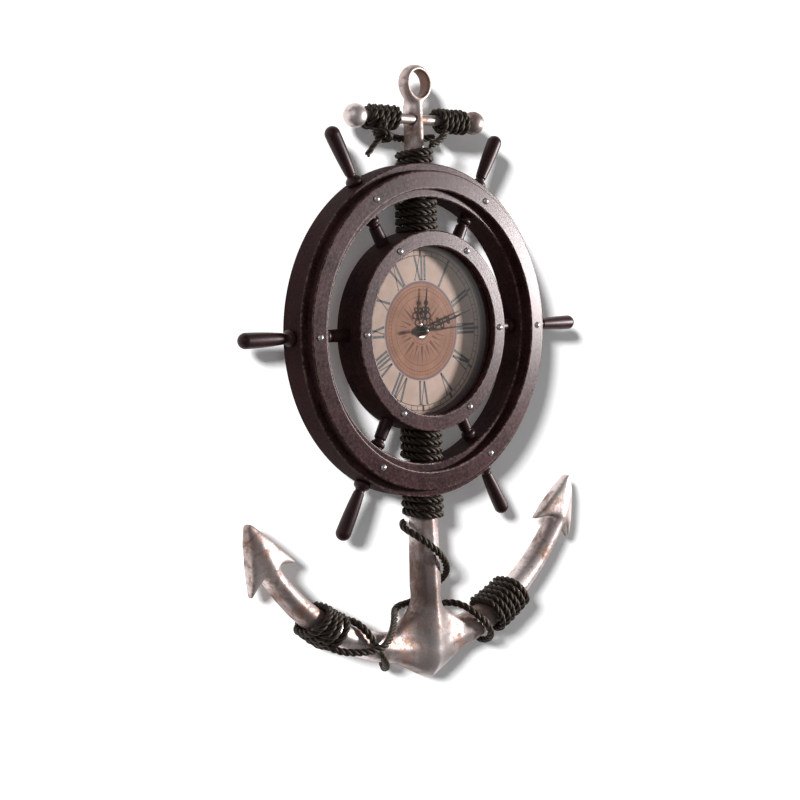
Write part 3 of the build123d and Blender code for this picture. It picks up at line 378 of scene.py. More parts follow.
def silver_leaf(name, silver, brown):
    """Silver leaf on a red-brown ground, dull in places and worn through more where brown is higher,
    with painted shade beside the crown's ridge, in the eye's bore and on the shank behind the wheel.
    """
    finish = Finish(name)
    place = finish.place()
    clouds = finish.noise(place, 17.0, 6.0, 0.6, 0.4)
    wear = finish.noise(place, 44.0, 7.0, 0.68, 0.8)
    specks = finish.noise(place, 420.0, 3.0, 0.7)
    dull = clouds.ramp(0.4, 0.62)
    x, _, z = finish.parts(place)
    side = abs(x) / MM
    up = z / MM
    from_eye = side.hypot(up - EYE_Z)
    bare = (wear * 0.75 + specks * 0.25 + clouds * 0.3).ramp(0.62 - brown, 0.8 - brown)
    bare = bare.most(from_eye.fade(*EYE_RUB) * 0.55 * (0.6 + specks * 0.8))
    wax = finish.noise(place, 75.0, 5.0, 0.7, 1.2).ramp(0.54, 0.7) * 0.6
    # Painted shade: the stain colour darkens the crown beside its ridge
    crown_shade = abs(side - CROWN_SHADE_SIDE).fade(*CROWN_SHADE) * 0.45 * up.fade(*CROWN_SHADE_TOP)
    # The eye's bore: brown worn leaf, with painted shade darkening the recess
    bore_wear_and_shade = from_eye.fade(*EYE_BORE_WEAR_AND_SHADE)
    # Painted shade: the shank behind the wheel and under its lashings is dark stain and not metallic
    shank_shade = abs(up - WHEEL_Z).fade(*SHADED_SHANK_UP) * side.fade(*SHADED_SHANK_SIDE)
    base = finish.blend(dull, tuple(silver.leaf), tuple(silver.dull))
    base = finish.blend(bare.most(bore_wear_and_shade) * 0.8, base, tuple(silver.bole))
    # Dark wax at random, and painted shade beside the crown's ridge, in the eye's bore and on the shank
    # behind the wheel
    base = finish.blend(wax.most(crown_shade).most(bore_wear_and_shade * 0.5).most(shank_shade), base, tuple(silver.stain))
    return finish.surface(
        Base_Color=base,
        Metallic=(0.9 - bare * 0.45 - wax * 0.4).least(1 - shank_shade),
        Roughness=0.36 + dull * 0.1 + bare * 0.16 + specks * 0.08,
        Normal=finish.bump(clouds * 0.6 + wear * 0.5 + specks * 0.25, 0.4, 0.002),
    )


def plain_metal(name, levels, roughness, grain=900.0):
    """Plated or bare metal with a faint grain."""
    finish = Finish(name)
    place = finish.place()
    fine = finish.noise(place, grain, 3.0, 0.6)
    bright = tone(*levels)
    return finish.surface(
        Base_Color=finish.blend(fine.ramp(0.3, 0.75), scaled(bright, 0.72), bright),
        Metallic=1.0,
        Roughness=roughness + fine * 0.08,
        Normal=finish.bump(fine, 0.06, 0.0003),
    )


def moulded(name, levels, roughness, grain=1600.0, shine=0.5):
    """Moulded plastic or plain board with a fine spark-eroded grain."""
    finish = Finish(name)
    place = finish.place()
    fine = finish.noise(place, grain, 2.0, 0.5)
    broad = finish.noise(place, 40.0, 2.0, 0.5)
    full = tone(*levels)
    return finish.surface(
        Base_Color=finish.blend(broad.ramp(0.3, 0.7), scaled(full, 0.8), full),
        Roughness=roughness + fine * 0.1,
        Specular_IOR_Level=shine,
        Normal=finish.bump(fine, 0.12, 0.0003),
    )


def rope_fibre(name, rope):
    """Dark fibre with lighter brown flecks at random, a painted highlight of glints."""
    finish = Finish(name)
    place = finish.place()
    broad = finish.noise(place, 190.0, 3.0, 0.6)
    fine = finish.noise(place, 1500.0, 3.0, 0.65)
    # Painted highlight: lighter brown flecks at random
    painted_glint = (broad * 0.6 + fine * 0.6).ramp(0.62, 0.86)
    return finish.surface(
        Base_Color=finish.blend(painted_glint * 0.7, tuple(rope.fibre), tuple(rope.painted_glint)),
        Roughness=0.42 + fine * 0.25,
        Specular_IOR_Level=0.5,
        Specular_Tint=(1.0, 0.8, 0.62, 1.0),
        Normal=finish.bump(fine, 0.5, 0.0006),
    )


def clear_glass(name):
    """Thin window glass: a faint tint and its own reflections."""
    finish = Finish(name)
    dust = finish.noise(finish.place(), 30.0, 5.0, 0.7).ramp(0.5, 0.9)
    return finish.surface(
        Base_Color=(0.03, 0.03, 0.03, 1.0),
        Roughness=0.28 + dust * 0.06,
        Alpha=0.03 + dust * 0.015,
        Specular_IOR_Level=0.5,
    )


# The compass rose, in mm from the dial's axis
ROSE_RAYS = (
    (8, 0.0, 16.5, 41.0, 1.8),
    (8, 0.5, 16.5, 34.0, 1.2),
    (16, 0.5, 22.0, 42.5, 0.5),
)  # how many, shift in steps, start, end and half width at the start
ROSE_RINGS = ((9.5, 0.3), (14.5, 0.16), (36.5, 0.14), (43.2, 0.22), (47.0, 0.14))  # radius, half width
ROSE_SCALE = 72  # marks of the scale round the rose
ROSE_SCALE_BAND = (45.1, 1.7)  # their middle and half length


def dial_print(name, dial):
    """Parchment hour ring, minute track, copper disc and compass rose."""
    finish = Finish(name)
    place = finish.place()
    x, _, z = finish.parts(place)
    across = x / MM
    up = z / MM - WHEEL_Z
    radius = across.hypot(up)
    turn = across.math("ARCTAN2", up) / math.tau
    disc = dial.disc_radius / MM
    inner = dial.track_inner / MM
    outer = dial.track_outer / MM
    track = (inner + outer) / 2
    half_track = (outer - inner) / 2

    def off_mark(count, shift=0.0):
        """Distance along the circle to the nearest of so many marks, in mm."""
        return abs((turn * count + (0.5 + shift)).fraction() - 0.5) * radius * (math.tau / count)

    def ring(middle, half_width, soft=0.18):
        """A ring with a soft edge."""
        return abs(radius - middle).fade(half_width, half_width + soft)

    def ray(count, shift, start, end, half_width):
        """Rays that narrow from their start to their end."""
        width = radius.ramp(start, end, half_width, 0.0)
        inside = radius.ramp(start - 0.3, start) * radius.fade(end - 0.3, end)
        return (width - off_mark(count, shift)).ramp(-0.12, 0.16) * inside

    fibres = finish.noise(place, 900.0, 4.0, 0.6)
    foxing = finish.noise(place, 48.0, 6.0, 0.66)
    paper = finish.blend(foxing.ramp(0.35, 0.75), scaled(dial.cream, 0.82), tuple(dial.cream))
    # Painted shade: the paper darkens towards the dial's rim, beside the bezel's wall
    paper = finish.blend(radius.ramp(outer - 3.0, outer + 4.0) * 0.55, paper, scaled(dial.cream, 0.6))
    rose = off_mark(ROSE_SCALE).fade(0.1, 0.28) * ring(*ROSE_SCALE_BAND)
    for rays in ROSE_RAYS:
        rose = rose.most(ray(*rays))
    for circle in ROSE_RINGS:
        rose = rose.most(ring(*circle))
    ground = finish.blend(foxing.ramp(0.3, 0.7), scaled(dial.copper, 0.72), tuple(dial.copper))
    ground = finish.blend(rose * 0.72, ground, tuple(dial.line))
    base = finish.blend(radius.ramp(disc - 0.2, disc + 0.2), ground, paper)
    base = finish.blend(ring(disc, 1.0, 0.6) * 0.85, base, tuple(dial.border))
    marks = off_mark(dial.minutes).fade(0.24, 0.42) * ring(track, half_track - 0.1)
    hours = off_mark(12).fade(1.3, 1.6) * ring(track, half_track + 0.8)
    ink = ring(inner, 0.28).most(ring(outer, 0.28)).most(marks).most(hours)
    base = finish.blend(ink * 0.9, base, tuple(dial.ink))
    return finish.surface(
        Base_Color=base,
        Roughness=0.7 + fibres * 0.12,
        Specular_IOR_Level=0.1,
        Normal=finish.bump(fibres, 0.08, 0.0002),
    )


def dress(material, *names):
    """Gives CAD nodes a material."""
    for name in names:
        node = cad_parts[name]
        node.data.materials.clear()
        node.data.materials.append(material)


def add_piece(name, mesh, material, body):
    """Links a finished mesh that rides on a body."""
    piece = bpy.data.objects.new(name, mesh)
    bpy.context.scene.collection.objects.link(piece)
    mesh.materials.clear()
    mesh.materials.append(material)
    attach(piece, body)
    return piece


ROUTE_STEPS = 8  # points of a rope's line for each of its control points


def smooth_line(points):
    """Points in metres along a NURBS curve, whose control points are in mm."""
    route = bpy.data.curves.new("route", "CURVE")
    route.dimensions = "3D"
    route.resolution_u = ROUTE_STEPS
    spline = route.splines.new("NURBS")
    spline.points.add(len(points) - 1)
    for control, point in zip(spline.points, points):
        control.co = (*(c * MM for c in point), 1.0)
    spline.order_u = 3
    spline.use_endpoint_u = True
    spline.resolution_u = ROUTE_STEPS
    holder = bpy.data.objects.new("route", route)
    mesh = bpy.data.meshes.new_from_object(holder)
    line = [vertex.co.copy() for vertex in mesh.vertices]
    bpy.data.objects.remove(holder)
    bpy.data.meshes.remove(mesh)
    bpy.data.curves.remove(route)
    return line


def laid_strands(curve, line, radius, lay, strands=3):
    """Adds the strands of a rope along a line: each winds round it once in a lay."""
    strand_radius = radius / (1 + 2 / math.sqrt(3))
    curve.bevel_depth = strand_radius
    tangents = [(b - a).normalized() for a, b in zip(line, line[1:])]
    tangents.append(tangents[-1])
    side = tangents[0].orthogonal().normalized()
    along = 0.0
    tracks = [[] for _ in range(strands)]
    for index, (point, tangent) in enumerate(zip(line, tangents)):
        side = (side - tangent * side.dot(tangent)).normalized()
        other = tangent.cross(side)
        if index:
            along += (point - line[index - 1]).length
        for number, track in enumerate(tracks):
            angle = math.tau * (along / lay + number / strands)
            offset = side * math.cos(angle) + other * math.sin(angle)
            track.append(point + offset * (radius - strand_radius))
    for track in tracks:
        spline = curve.splines.new("POLY")
        spline.points.add(len(track) - 1)
        for control, point in zip(spline.points, track):
            control.co = (*point, 1.0)


def rope_piece(name, routes, radius, material, lay, node=None):
    """A laid rope along one or more routes, in place of a CAD node if it has one."""
    curve = bpy.data.curves.new(name, "CURVE")
    curve.dimensions = "3D"
    curve.bevel_resolution = 2
    curve.use_fill_caps = True
    lines = [smooth_line(route) for route in routes]
    for line in lines:
        laid_strands(curve, line, radius, lay)
    holder = bpy.data.objects.new(name, curve)
    mesh = bpy.data.meshes.new_from_object(holder)
    bpy.data.objects.remove(holder)
    bpy.data.curves.remove(curve)
    mesh.name = name
    for polygon in mesh.polygons:
        polygon.use_smooth = True
    piece = add_piece(name, mesh, material, BODY)
    if node:
        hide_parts(node)
    return piece, lines


# Windings, in mm and degrees
ROPE_OFFSET = 4.2  # rope's middle from what it is wound on
TURN_PITCH = 8.1  # from one turn to the next
ROUND_SHARE = 1.035  # control points stand this far out of a circle that they shape
ROD_RADIUS = 5.4
ROD_TURN_X = 33.5  # first turn on the stock's rod, from the middle
ROD_CORNERS = 12  # control points of a turn there
CROWN_DROP = 337.0  # lowest point of the arms' middle line, below the wheel's middle
ARM_RADIUS = 256.0  # of that line
ARM_INSIDE = 233.6  # radius of the rope's middle inside the arms' bend, where turns touch
ARM_START = -90.0
ARM_SWEEP = 53.5
ARM_HALF_WIDTHS = (18.2, 14.0, 10.6)  # at the crown, half way and at the fluke
ARM_DEPTHS = (30.5, 27.5, 24.0)
SHANK_CORE = (12.5, 24.0)  # half width and depth of the shank
NECK_CORE = (9.6, 21.5)  # the same at its neck, under the stock
NECK_TURN_Z = -40.8  # first turn at the neck
LASHING_REACH = 109.7  # first turn of the lashings above and below the drum, from the wheel's middle
BASE_REACH = 179.2  # first turn of the lowest lashing, from there
SHANK_OUTLINE = (
    (-0.5, 0.0, 0.0, 1.05),
    (-0.95, 0.0, -0.8, 0.95),
    (-1.0, 0.15, -1.05, 0.2),
    (-1.0, 0.45, -1.05, 0.0),
    (-0.95, 0.72, -1.0, -0.5),
    (-0.6, 0.92, -0.75, -1.0),
    (0.0, 1.04, 0.0, -1.1),
    (0.6, 0.92, 0.75, -1.0),
    (0.95, 0.72, 1.0, -0.5),
    (1.0, 0.45, 1.05, 0.0),
    (1.0, 0.15, 1.05, 0.2),
    (0.95, 0.0, 0.8, 0.95),
    (0.5, 0.0, 0.0, 1.05),
)  # share of half width, share of depth, then how far out the rope's middle lies in X and Y


def casting_turn(half_width, depth):
    """The rope's middle round the casting's section: pairs of sideways and into the wall."""
    return [
        (w * half_width + x * ROPE_OFFSET, -d * depth + y * ROPE_OFFSET) for w, d, x, y in SHANK_OUTLINE
    ]


def shank_winding(first, count, core, direction=1):
    """Turns round the shank from a height of the first turn, upwards or downwards."""
    turn = casting_turn(*core)
    points = []
    for number in range(count):
        for index, (x, y) in enumerate(turn):
            rise = number - 0.5 + index / len(turn)
            points.append((x, y, first + direction * TURN_PITCH * rise))
    return points


def arm_size(angle, root, middle, end):
    """A size of the arm at an angle of its arc, on a curve through three sizes."""
    share = (angle - ARM_START) / ARM_SWEEP
    near = root * (1 - share) * (1 - 2 * share)
    return near + 4 * middle * share * (1 - share) + end * share * (2 * share - 1)


def arm_winding(first_angle, count, side, slack=0.0):
    """Turns round an arm from an angle of its arc. Slack lets them lie unevenly."""
    middle_z = WHEEL_Z - CROWN_DROP + ARM_RADIUS
    step = math.degrees(TURN_PITCH / ARM_INSIDE)
    points = []
    for number in range(count):
        place = first_angle + step * number
        turn = casting_turn(arm_size(place, *ARM_HALF_WIDTHS), arm_size(place, *ARM_DEPTHS))
        for index, (out, y) in enumerate(turn):
            share = number - 0.5 + index / len(turn)
            sway = slack * math.sin(2.4 * number + 0.9 * index)
            angle = math.radians(first_angle + step * share + sway)
            reach = ARM_RADIUS + out
            points.append((side * reach * math.cos(angle), y, middle_z + reach * math.sin(angle)))
    return points


def stock_winding(side, count):
    """Turns round the stock, from the shank outwards."""
    radius = (ROD_RADIUS + ROPE_OFFSET) * ROUND_SHARE
    points = []
    for number in range(count):
        for index in range(ROD_CORNERS):
            angle = math.tau * index / ROD_CORNERS
            along = ROD_TURN_X + TURN_PITCH * (number - 0.5 + index / ROD_CORNERS)
            y = ROD_Y + radius * math.cos(angle)
            z = ROD_Z + radius * math.sin(angle)
            points.append((side * along, y, z))
    return points


# Routes of the loose ropes, in mm
FRONT_STRAND = [
    (30.9, -25.9, -10.9),
    (25.4, -27.3, -16.6),
    (18.5, -28, -21.6),
    (11.5, -28.6, -24.8),
    (5, -29.2, -26.2),
]
BRIDLE = [
    (-33, -6.5, -15.7),
    (-24, 1, -16.7),
    (-12, 4.8, -17.6),
    (1, 5, -18),
    (12, 4.8, -17.6),
    (24, 0.9, -16.6),
    (33, -6, -15.5),
]
TAIL = [
    (-60, -29.1, -3.4),
    (-57.6, -28.1, -12),
    (-58.6, -25.4, -19),
    (-63, -22.4, -24.5),
    (-68.5, -20.6, -30.5),
    (-75, -19.2, -39),
]
KNOT = [
    (-66, -20.5, -16.6),
    (-65.2, -25.2, -14.2),
    (-62, -29.6, -14.4),
    (-57.5, -32, -16.8),
    (-53.4, -31, -20.2),
    (-51.6, -26.8, -22.8),
    (-53, -21.6, -23.4),
    (-57.4, -18.4, -22),
    (-62, -18.8, -19.4),
    (-65.2, -22.6, -17.2),
    (-64.6, -27.6, -16.6),
]
SHANK_STRAND = [
    (-13.9, 6.3, -424.3),
    (-22.8, 0.6, -426.5),
    (-24.1, -13.8, -431.4),
    (-18.8, -25, -437.9),
    (-8.4, -30.1, -447),
    (2.9, -33.4, -458),
    (14.1, -29.5, -469.9),
    (24, -19.1, -481.9),
    (25, -6.1, -493),
    (23.5, 3, -501),
    (13, 5.8, -507.5),
    (0, 5.6, -511.5),
    (-14, 5.8, -513),
    (-27, 4.6, -513.5),
    (-38, -2, -515.5),
    (-46, -11, -519.5),
    (-55.5, -20, -525.5),
    (-68, -30, -531.5),
    (-80, -37.6, -536.5),
    (-91.9, -42, -540),
    (-107, -39.1, -541.5),
    (-121, -34.5, -540.5),
    (-129.5, -30.9, -539.3),
    (-138, -26.5, -536.8),
    (-145.5, -21.5, -532.5),
]
CROWN_LOOP = [
    (-100.9, 5.7, -527.8),
    (-105.6, 3.4, -515.6),
    (-106.7, -8.7, -512.4),
    (-103.9, -21, -516.3),
    (-99.6, -29.8, -525),
    (-91.8, -33.5, -540),
    (-78.6, -30.4, -557.3),
    (-65.6, -19.1, -569.1),
    (-56.9, -2.3, -573.9),
    (-48.5, 8.7, -564),
]
ARM_TURN = [
    (33, 5, -521),
    (44, -1, -519.5),
    (54, -12, -522.5),
    (62, -25.2, -531.9),
    (71, -33.8, -544.9),
    (80, -30.6, -557),
    (87, -18, -566.5),
    (88.5, -3, -569),
    (84, 5.4, -561),
]


def swell(place, middle, reach):
    """A smooth rise to 1 at a middle, and 0 from a reach away."""
    return max(0.0, 1.0 - ((place - middle) / reach) ** 2) ** 2


def baked(obj):
    """An object as its modifiers leave it."""
    return obj.evaluated_get(bpy.context.evaluated_depsgraph_get())


# Where the castings are worked by hand, in mm
HOLLOW_SIDE = (34.0, 34.0)  # middle and reach of a hollow beside the crown's ridge
HOLLOW_UP = (-536.0, 52.0)
RIDGE_REACH = 18.0  # from the middle line to where the rubbing is full
ROD_REACH = 16.0  # from the rod's axis, within which its hole is left sharp


def soft_casting(node, material, silver, ridge):
    """A casting rubbed soft by hand, over its CAD node. Ridge is how much the middle line is rubbed."""
    mesh = bmesh.new()
    mesh.from_mesh(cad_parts[node].data)
    bmesh.ops.remove_doubles(mesh, verts=mesh.verts[:], dist=1e-6)
    merged = bpy.data.meshes.new(f"merged_{node}")
    mesh.to_mesh(merged)
    mesh.free()
    holder = bpy.data.objects.new(f"merged_{node}", merged)
    bpy.context.scene.collection.objects.link(holder)
    skin = holder.modifiers.new("skin", "REMESH")
    skin.mode = "VOXEL"
    skin.voxel_size = silver.voxel
    skin.use_smooth_shade = True
    skinned = bpy.data.meshes.new_from_object(baked(holder))
    holder.data = skinned
    holder.modifiers.clear()
    worn = holder.vertex_groups.new(name="worn")
    for vertex in skinned.vertices:
        side = abs(vertex.co.x) / MM
        up = vertex.co.z / MM
        vertex.co.y *= 1.0 - silver.hollow * swell(side, *HOLLOW_SIDE) * swell(up, *HOLLOW_UP)
        for end_side, end_up in FLUKE_ENDS:
            away = math.hypot(side - end_side, up - end_up)
            thinned = silver.thin * swell(away, 0.0, silver.thin_reach / MM)
            vertex.co.y += (FLUKE_MIDDLE * MM - vertex.co.y) * thinned
        from_rod = math.hypot(vertex.co.y / MM - ROD_Y, up - ROD_Z)
        weight = ridge + (1.0 - ridge) * min(side / RIDGE_REACH, 1.0)
        worn.add([vertex.index], weight * (1.0 - swell(from_rod, 0.0, ROD_REACH)), "REPLACE")
    rub = holder.modifiers.new("rub", "SMOOTH")
    rub.factor = 0.5
    rub.iterations = silver.rounds
    rub.vertex_group = "worn"
    finished = bpy.data.meshes.new_from_object(baked(holder))
    bpy.data.objects.remove(holder)
    for between in (merged, skinned):
        bpy.data.meshes.remove(between)
    finished.name = f"cast_{node}"
    piece = add_piece(f"cast_{node}", finished, material, BODY)
    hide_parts(node)
    return piece


class CLOCK_OT_wood(bpy.types.Operator):
    """Stain the wheel, the drum, the spokes and the handles"""

    bl_idname = "clock.wood"
    bl_label = "Wood"

    def execute(self, context):
        wood = context.scene.clock_wood
        # Radii of the front edges, and the front from the flat back, in mm
        rim = stained_wood("rim_wood", wood, outer=175.0, inner=139.5, front=27.6)
        facing = stained_wood("facing_wood", wood, outer=167.0, inner=147.5, front=36.0)
        drum = stained_wood("drum_wood", wood, outer=105.0, inner=88.5, front=36.0)
        dress(rim, "wheel_rim")
        dress(facing, "rim_facing")
        dress(drum, "clock_case", "bezel")
        turned = [f"{kind}_{number}" for kind in ("spoke", "handle") for number in range(1, 7)]
        dress(turned_wood("turned_wood", wood), *turned)
        return {"FINISHED"}


class CLOCK_OT_metal(bpy.types.Operator):
    """Silver the anchor and its stock, and plate the nails and the fittings"""

    bl_idname = "clock.metal"
    bl_label = "Metal"

    def execute(self, context):
        silver = context.scene.clock_silver
        leaf = silver_leaf("silver_leaf", silver, brown=0.0)
        for node, ridge in (("anchor_head", 0.7), ("anchor_base", 0.12)):
            soft_casting(node, leaf, silver, ridge)
        dress(silver_leaf("stock_leaf", silver, brown=-0.04), "stock_rod", "stock_balls")
        steel = plain_metal("nail_steel", (218, 212, 210), roughness=0.3, grain=500.0)
        dress(steel, "rim_nails", "bezel_nails")
        zinc = plain_metal("zinc", (168, 170, 172), roughness=0.34)
        dress(zinc, "board_screws", "anchor_screws", "hanger_screws", "hanger_plate", "washer")
        return {"FINISHED"}


class CLOCK_OT_rope(bpy.types.Operator):
    """Wind laid rope on the anchor and run it between the lashings"""

    bl_idname = "clock.rope"
    bl_label = "Rope"

    def execute(self, context):
        rope = context.scene.clock_rope
        fibre = rope_fibre("rope_fibre", rope)
        windings = {
            "rope_stock_left": [stock_winding(side=-1, count=5)],
            "rope_stock_right": [stock_winding(side=1, count=5)],
            "rope_neck": [shank_winding(NECK_TURN_Z, 2, NECK_CORE)],
            "rope_upper": [shank_winding(WHEEL_Z + LASHING_REACH, 4, SHANK_CORE)],
            "rope_lower": [shank_winding(WHEEL_Z - LASHING_REACH, 4, SHANK_CORE, direction=-1)],
            "rope_base": [shank_winding(WHEEL_Z - BASE_REACH, 3, SHANK_CORE, direction=-1)],
            "rope_arm_left": [arm_winding(first_angle=-58.4, count=4, side=-1, slack=0.3)],
            "rope_arm_right": [arm_winding(first_angle=-68.5, count=6, side=1, slack=0.12)],
            "rope_bridle": [FRONT_STRAND, BRIDLE],
            "rope_shank_strand": [SHANK_STRAND],
            "rope_crown_turns": [CROWN_LOOP, ARM_TURN],
        }
        for node, routes in windings.items():
            rope_piece(f"laid_{node}", routes, rope.radius, fibre, rope.lay, node)
        rope_piece("laid_knot", [KNOT], rope.tail_radius, fibre, rope.lay)
        tail, lines = rope_piece("laid_tail", [TAIL], rope.tail_radius, fibre, rope.lay, "rope_tail")
        run = sum((b - a).length for a, b in zip(lines[0], lines[0][1:]))
        return {"FINISHED"}


ROMAN = ("XII", "I", "II", "III", "IV", "V", "VI", "VII", "VIII", "IX", "X", "XI")

# Letters of the numerals, in mm
LETTER_WIDTHS = {"I": 4.4, "V": 8.0, "X": 8.2}
LETTER_LEANS = {"I": 0.0, "V": 1.04, "X": 1.768}  # a stroke's lean, as a share of half the width
SERIF_WIDTHS = {"I": 3.7, "V": 2.8, "X": 2.6}
SERIF = 0.9  # height of a serif
THICK = 2.7  # width of a thick stroke
THIN = 1.1
INK_LIFT = 0.06  # ink over the paper


def stroke(mesh, origin, x, lean, width, foot, head):
    """A printed stroke from a foot to a head height, leaning sideways over its height."""
    tall = head - foot
    box = Matrix.Diagonal((width, INK_LIFT * MM, tall, 1.0))
    shear = Matrix.Identity(4)
    shear[0][2] = lean / tall
    middle = Matrix.Translation((x, 0.0, (foot + head) / 2))
    bmesh.ops.create_cube(mesh, size=1.0, matrix=origin @ middle @ shear @ box)


def letter(mesh, sign, origin, height):
    """One Roman letter with its serifs, upright on its origin. Its height is in metres."""
    lean = LETTER_WIDTHS[sign] * MM / 2 * LETTER_LEANS[sign]
    thick, thin, half_serif = THICK * MM, THIN * MM, SERIF * MM / 2
    low, high = -height / 2, height / 2
    strokes = {
        "I": [(0.0, 0.0, thick)],
        "V": [(-lean / 2, -lean, thick), (lean / 2, lean, thin)],
        "X": [(0.0, -lean, thick), (0.0, lean, thin)],
    }
    serifs = {
        "I": [(0.0, low), (0.0, high)],
        "V": [(-lean, high), (lean, high)],
        "X": [(x, z) for x in (-lean / 2, lean / 2) for z in (low, high)],
    }
    for x, slant, width in strokes[sign]:
        stroke(mesh, origin, x, slant, width, low, high)
    for x, z in serifs[sign]:
        stroke(mesh, origin, x, 0.0, SERIF_WIDTHS[sign] * MM, z - half_serif, z + half_serif)


class CLOCK_OT_dial(bpy.types.Operator):
    """Print the dial and set its Roman numerals"""

    bl_idname = "clock.dial"
    bl_label = "Dial"

    def execute(self, context):
        dial = context.scene.clock_dial
        dress(dial_print("dial_print", dial), "dial")
        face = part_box("dial")[0][1]
        mesh = bmesh.new()
        for hour, numeral in enumerate(ROMAN):
            turn = Matrix.Rotation(math.tau * hour / 12, 4, "Y")
            centre = Matrix.Translation((0.0, face - INK_LIFT * MM / 2, WHEEL_Z * MM)) @ turn
            centre = centre @ Matrix.Translation((0.0, 0.0, dial.numeral_radius))
            widths = [LETTER_WIDTHS[sign] * MM for sign in numeral]
            left = -sum(widths) / 2
            for sign, width in zip(numeral, widths):
                spot = centre @ Matrix.Translation((left + width / 2, 0.0, 0.0))
                letter(mesh, sign, spot, dial.numeral_height)
                left += width
        bmesh.ops.recalc_face_normals(mesh, faces=mesh.faces[:])
        numerals = bpy.data.meshes.new("dial_numerals")
        mesh.to_mesh(numerals)
        mesh.free()
        finish = Finish("numeral_ink")
        wear = finish.noise(finish.place(), 350.0, 5.0, 0.7).ramp(0.3, 0.75)
        ink = finish.surface(
            Base_Color=finish.blend(wear, tuple(dial.ink), scaled(dial.ink, 1.7)),
            Roughness=0.55 + wear * 0.15,
        )
        add_piece("dial_numerals", numerals, ink, BODY)
        dress(moulded("fibre_board", (128, 98, 68), roughness=0.7), "dial_board")
        dress(clear_glass("clear_glass"), "glass")
        return {"FINISHED"}


CAP_PROFILE = ((0.0, 1.7), (0.9, 1.55), (1.7, 1.0), (2.0, 0.35), (2.0, 0.0))  # radius, height in mm


class CLOCK_OT_hands(bpy.types.Operator):
    """Blacken the hands and cap their arbor"""

    bl_idname = "clock.hands"
    bl_label = "Hands"

    def execute(self, context):
        black = moulded("hand_black", (26, 24, 26), roughness=0.6, grain=2200.0, shine=0.05)
        dress(black, "hour_hand", "minute_hand", "second_hand")
        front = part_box("second_hand")[0][1]
        mesh = bmesh.new()
        points = [mesh.verts.new((r * MM, front - h * MM, WHEEL_Z * MM)) for r, h in CAP_PROFILE]
        edges = [mesh.edges.new(pair) for pair in zip(points, points[1:])]
        bmesh.ops.spin(
            mesh,
            geom=points + edges,
            cent=(0.0, 0.0, WHEEL_Z * MM),
            axis=(0.0, 1.0, 0.0),
            angle=math.tau,
            steps=24,
            use_merge=True,
        )
        bmesh.ops.remove_doubles(mesh, verts=mesh.verts[:], dist=1e-6)
        bmesh.ops.recalc_face_normals(mesh, faces=mesh.faces[:])
        cap = bpy.data.meshes.new("hand_cap")
        mesh.to_mesh(cap)
        mesh.free()
        for polygon in cap.polygons:
            polygon.use_smooth = True
        steel = plain_metal("cap_steel", (196, 184, 172), roughness=0.42)
        add_piece("hand_cap", cap, steel, "second")
        return {"FINISHED"}


class CLOCK_OT_movement(bpy.types.Operator):
    """Finish the quartz movement and what is inside it"""

    bl_idname = "clock.movement"
    bl_label = "Movement"

    def execute(self, context):
        black = moulded("movement_black", (38, 38, 40), roughness=0.5)
        dress(black, "movement_case", "movement_cover", "setting_knob")
        wheels = ("hour_wheel", "centre_wheel", "third_wheel", "second_wheel", "motion_wheel")
        dress(moulded("wheel_white", (222, 218, 204), roughness=0.45), *wheels)
        dress(moulded("motor_brown", (96, 66, 46), roughness=0.5), "stepper_motor")
        dress(moulded("circuit_green", (42, 104, 66), roughness=0.4), "circuit_board")
        dress(plain_metal("nut_brass", (126, 92, 70), roughness=0.5), "fixing_nut")
        dress(plain_metal("contact_nickel", (196, 194, 188), roughness=0.25), "battery_contacts")
        dress(moulded("cell_wrapper", (74, 84, 92), roughness=0.3), "battery_cell")
        return {"FINISHED"}


# The stage, in metres and degrees
LIT_MIDDLE = Vector((0.0, -0.02, -0.24))  # what the lamps are turned to
CAMERA_AZIMUTH = -42.55
CAMERA_ELEVATION = 4.62
CAMERA_ROLL = 1.4
CAMERA_PIVOT = Vector((0.0, -0.036, -0.22))
CAMERA_BACK = 1.62671  # from the pivot, along the line of sight
CAMERA_LEFT = 0.03770  # from it, in the picture's own directions
CAMERA_DOWN = 0.07227
SENSOR_WIDTH = 36.0  # in mm
WALL_HALF = 4.0  # half a side of the wall
WALL_GAP = 0.001  # from the rope's back to the wall
SUN_SPREAD = 10.0  # width of the wall's sun, which softens the shadow


def outwards(azimuth, elevation):
    """The direction at two angles from the front of the clock, in degrees."""
    a, e = math.radians(azimuth), math.radians(elevation)
    return Vector((math.sin(a) * math.cos(e), -math.cos(a) * math.cos(e), math.sin(e)))


def aimed_lamp(name, kind, energy, azimuth, elevation, distance):
    """A lamp that is turned to the clock's middle."""
    lamp = bpy.data.objects.new(name, bpy.data.lights.new(name, kind))
    bpy.context.scene.collection.objects.link(lamp)
    lamp.data.energy = energy
    lamp.location = LIT_MIDDLE + outwards(azimuth, elevation) * distance
    lamp.rotation_euler = (LIT_MIDDLE - lamp.location).to_track_quat("-Z", "Y").to_euler()
    return lamp


def soft_box(name, energy, size, azimuth, elevation, distance):
    """A square lamp of a size in metres."""
    lamp = aimed_lamp(name, "AREA", energy, azimuth, elevation, distance)
    lamp.data.shape = "SQUARE"
    lamp.data.size = size
    return lamp


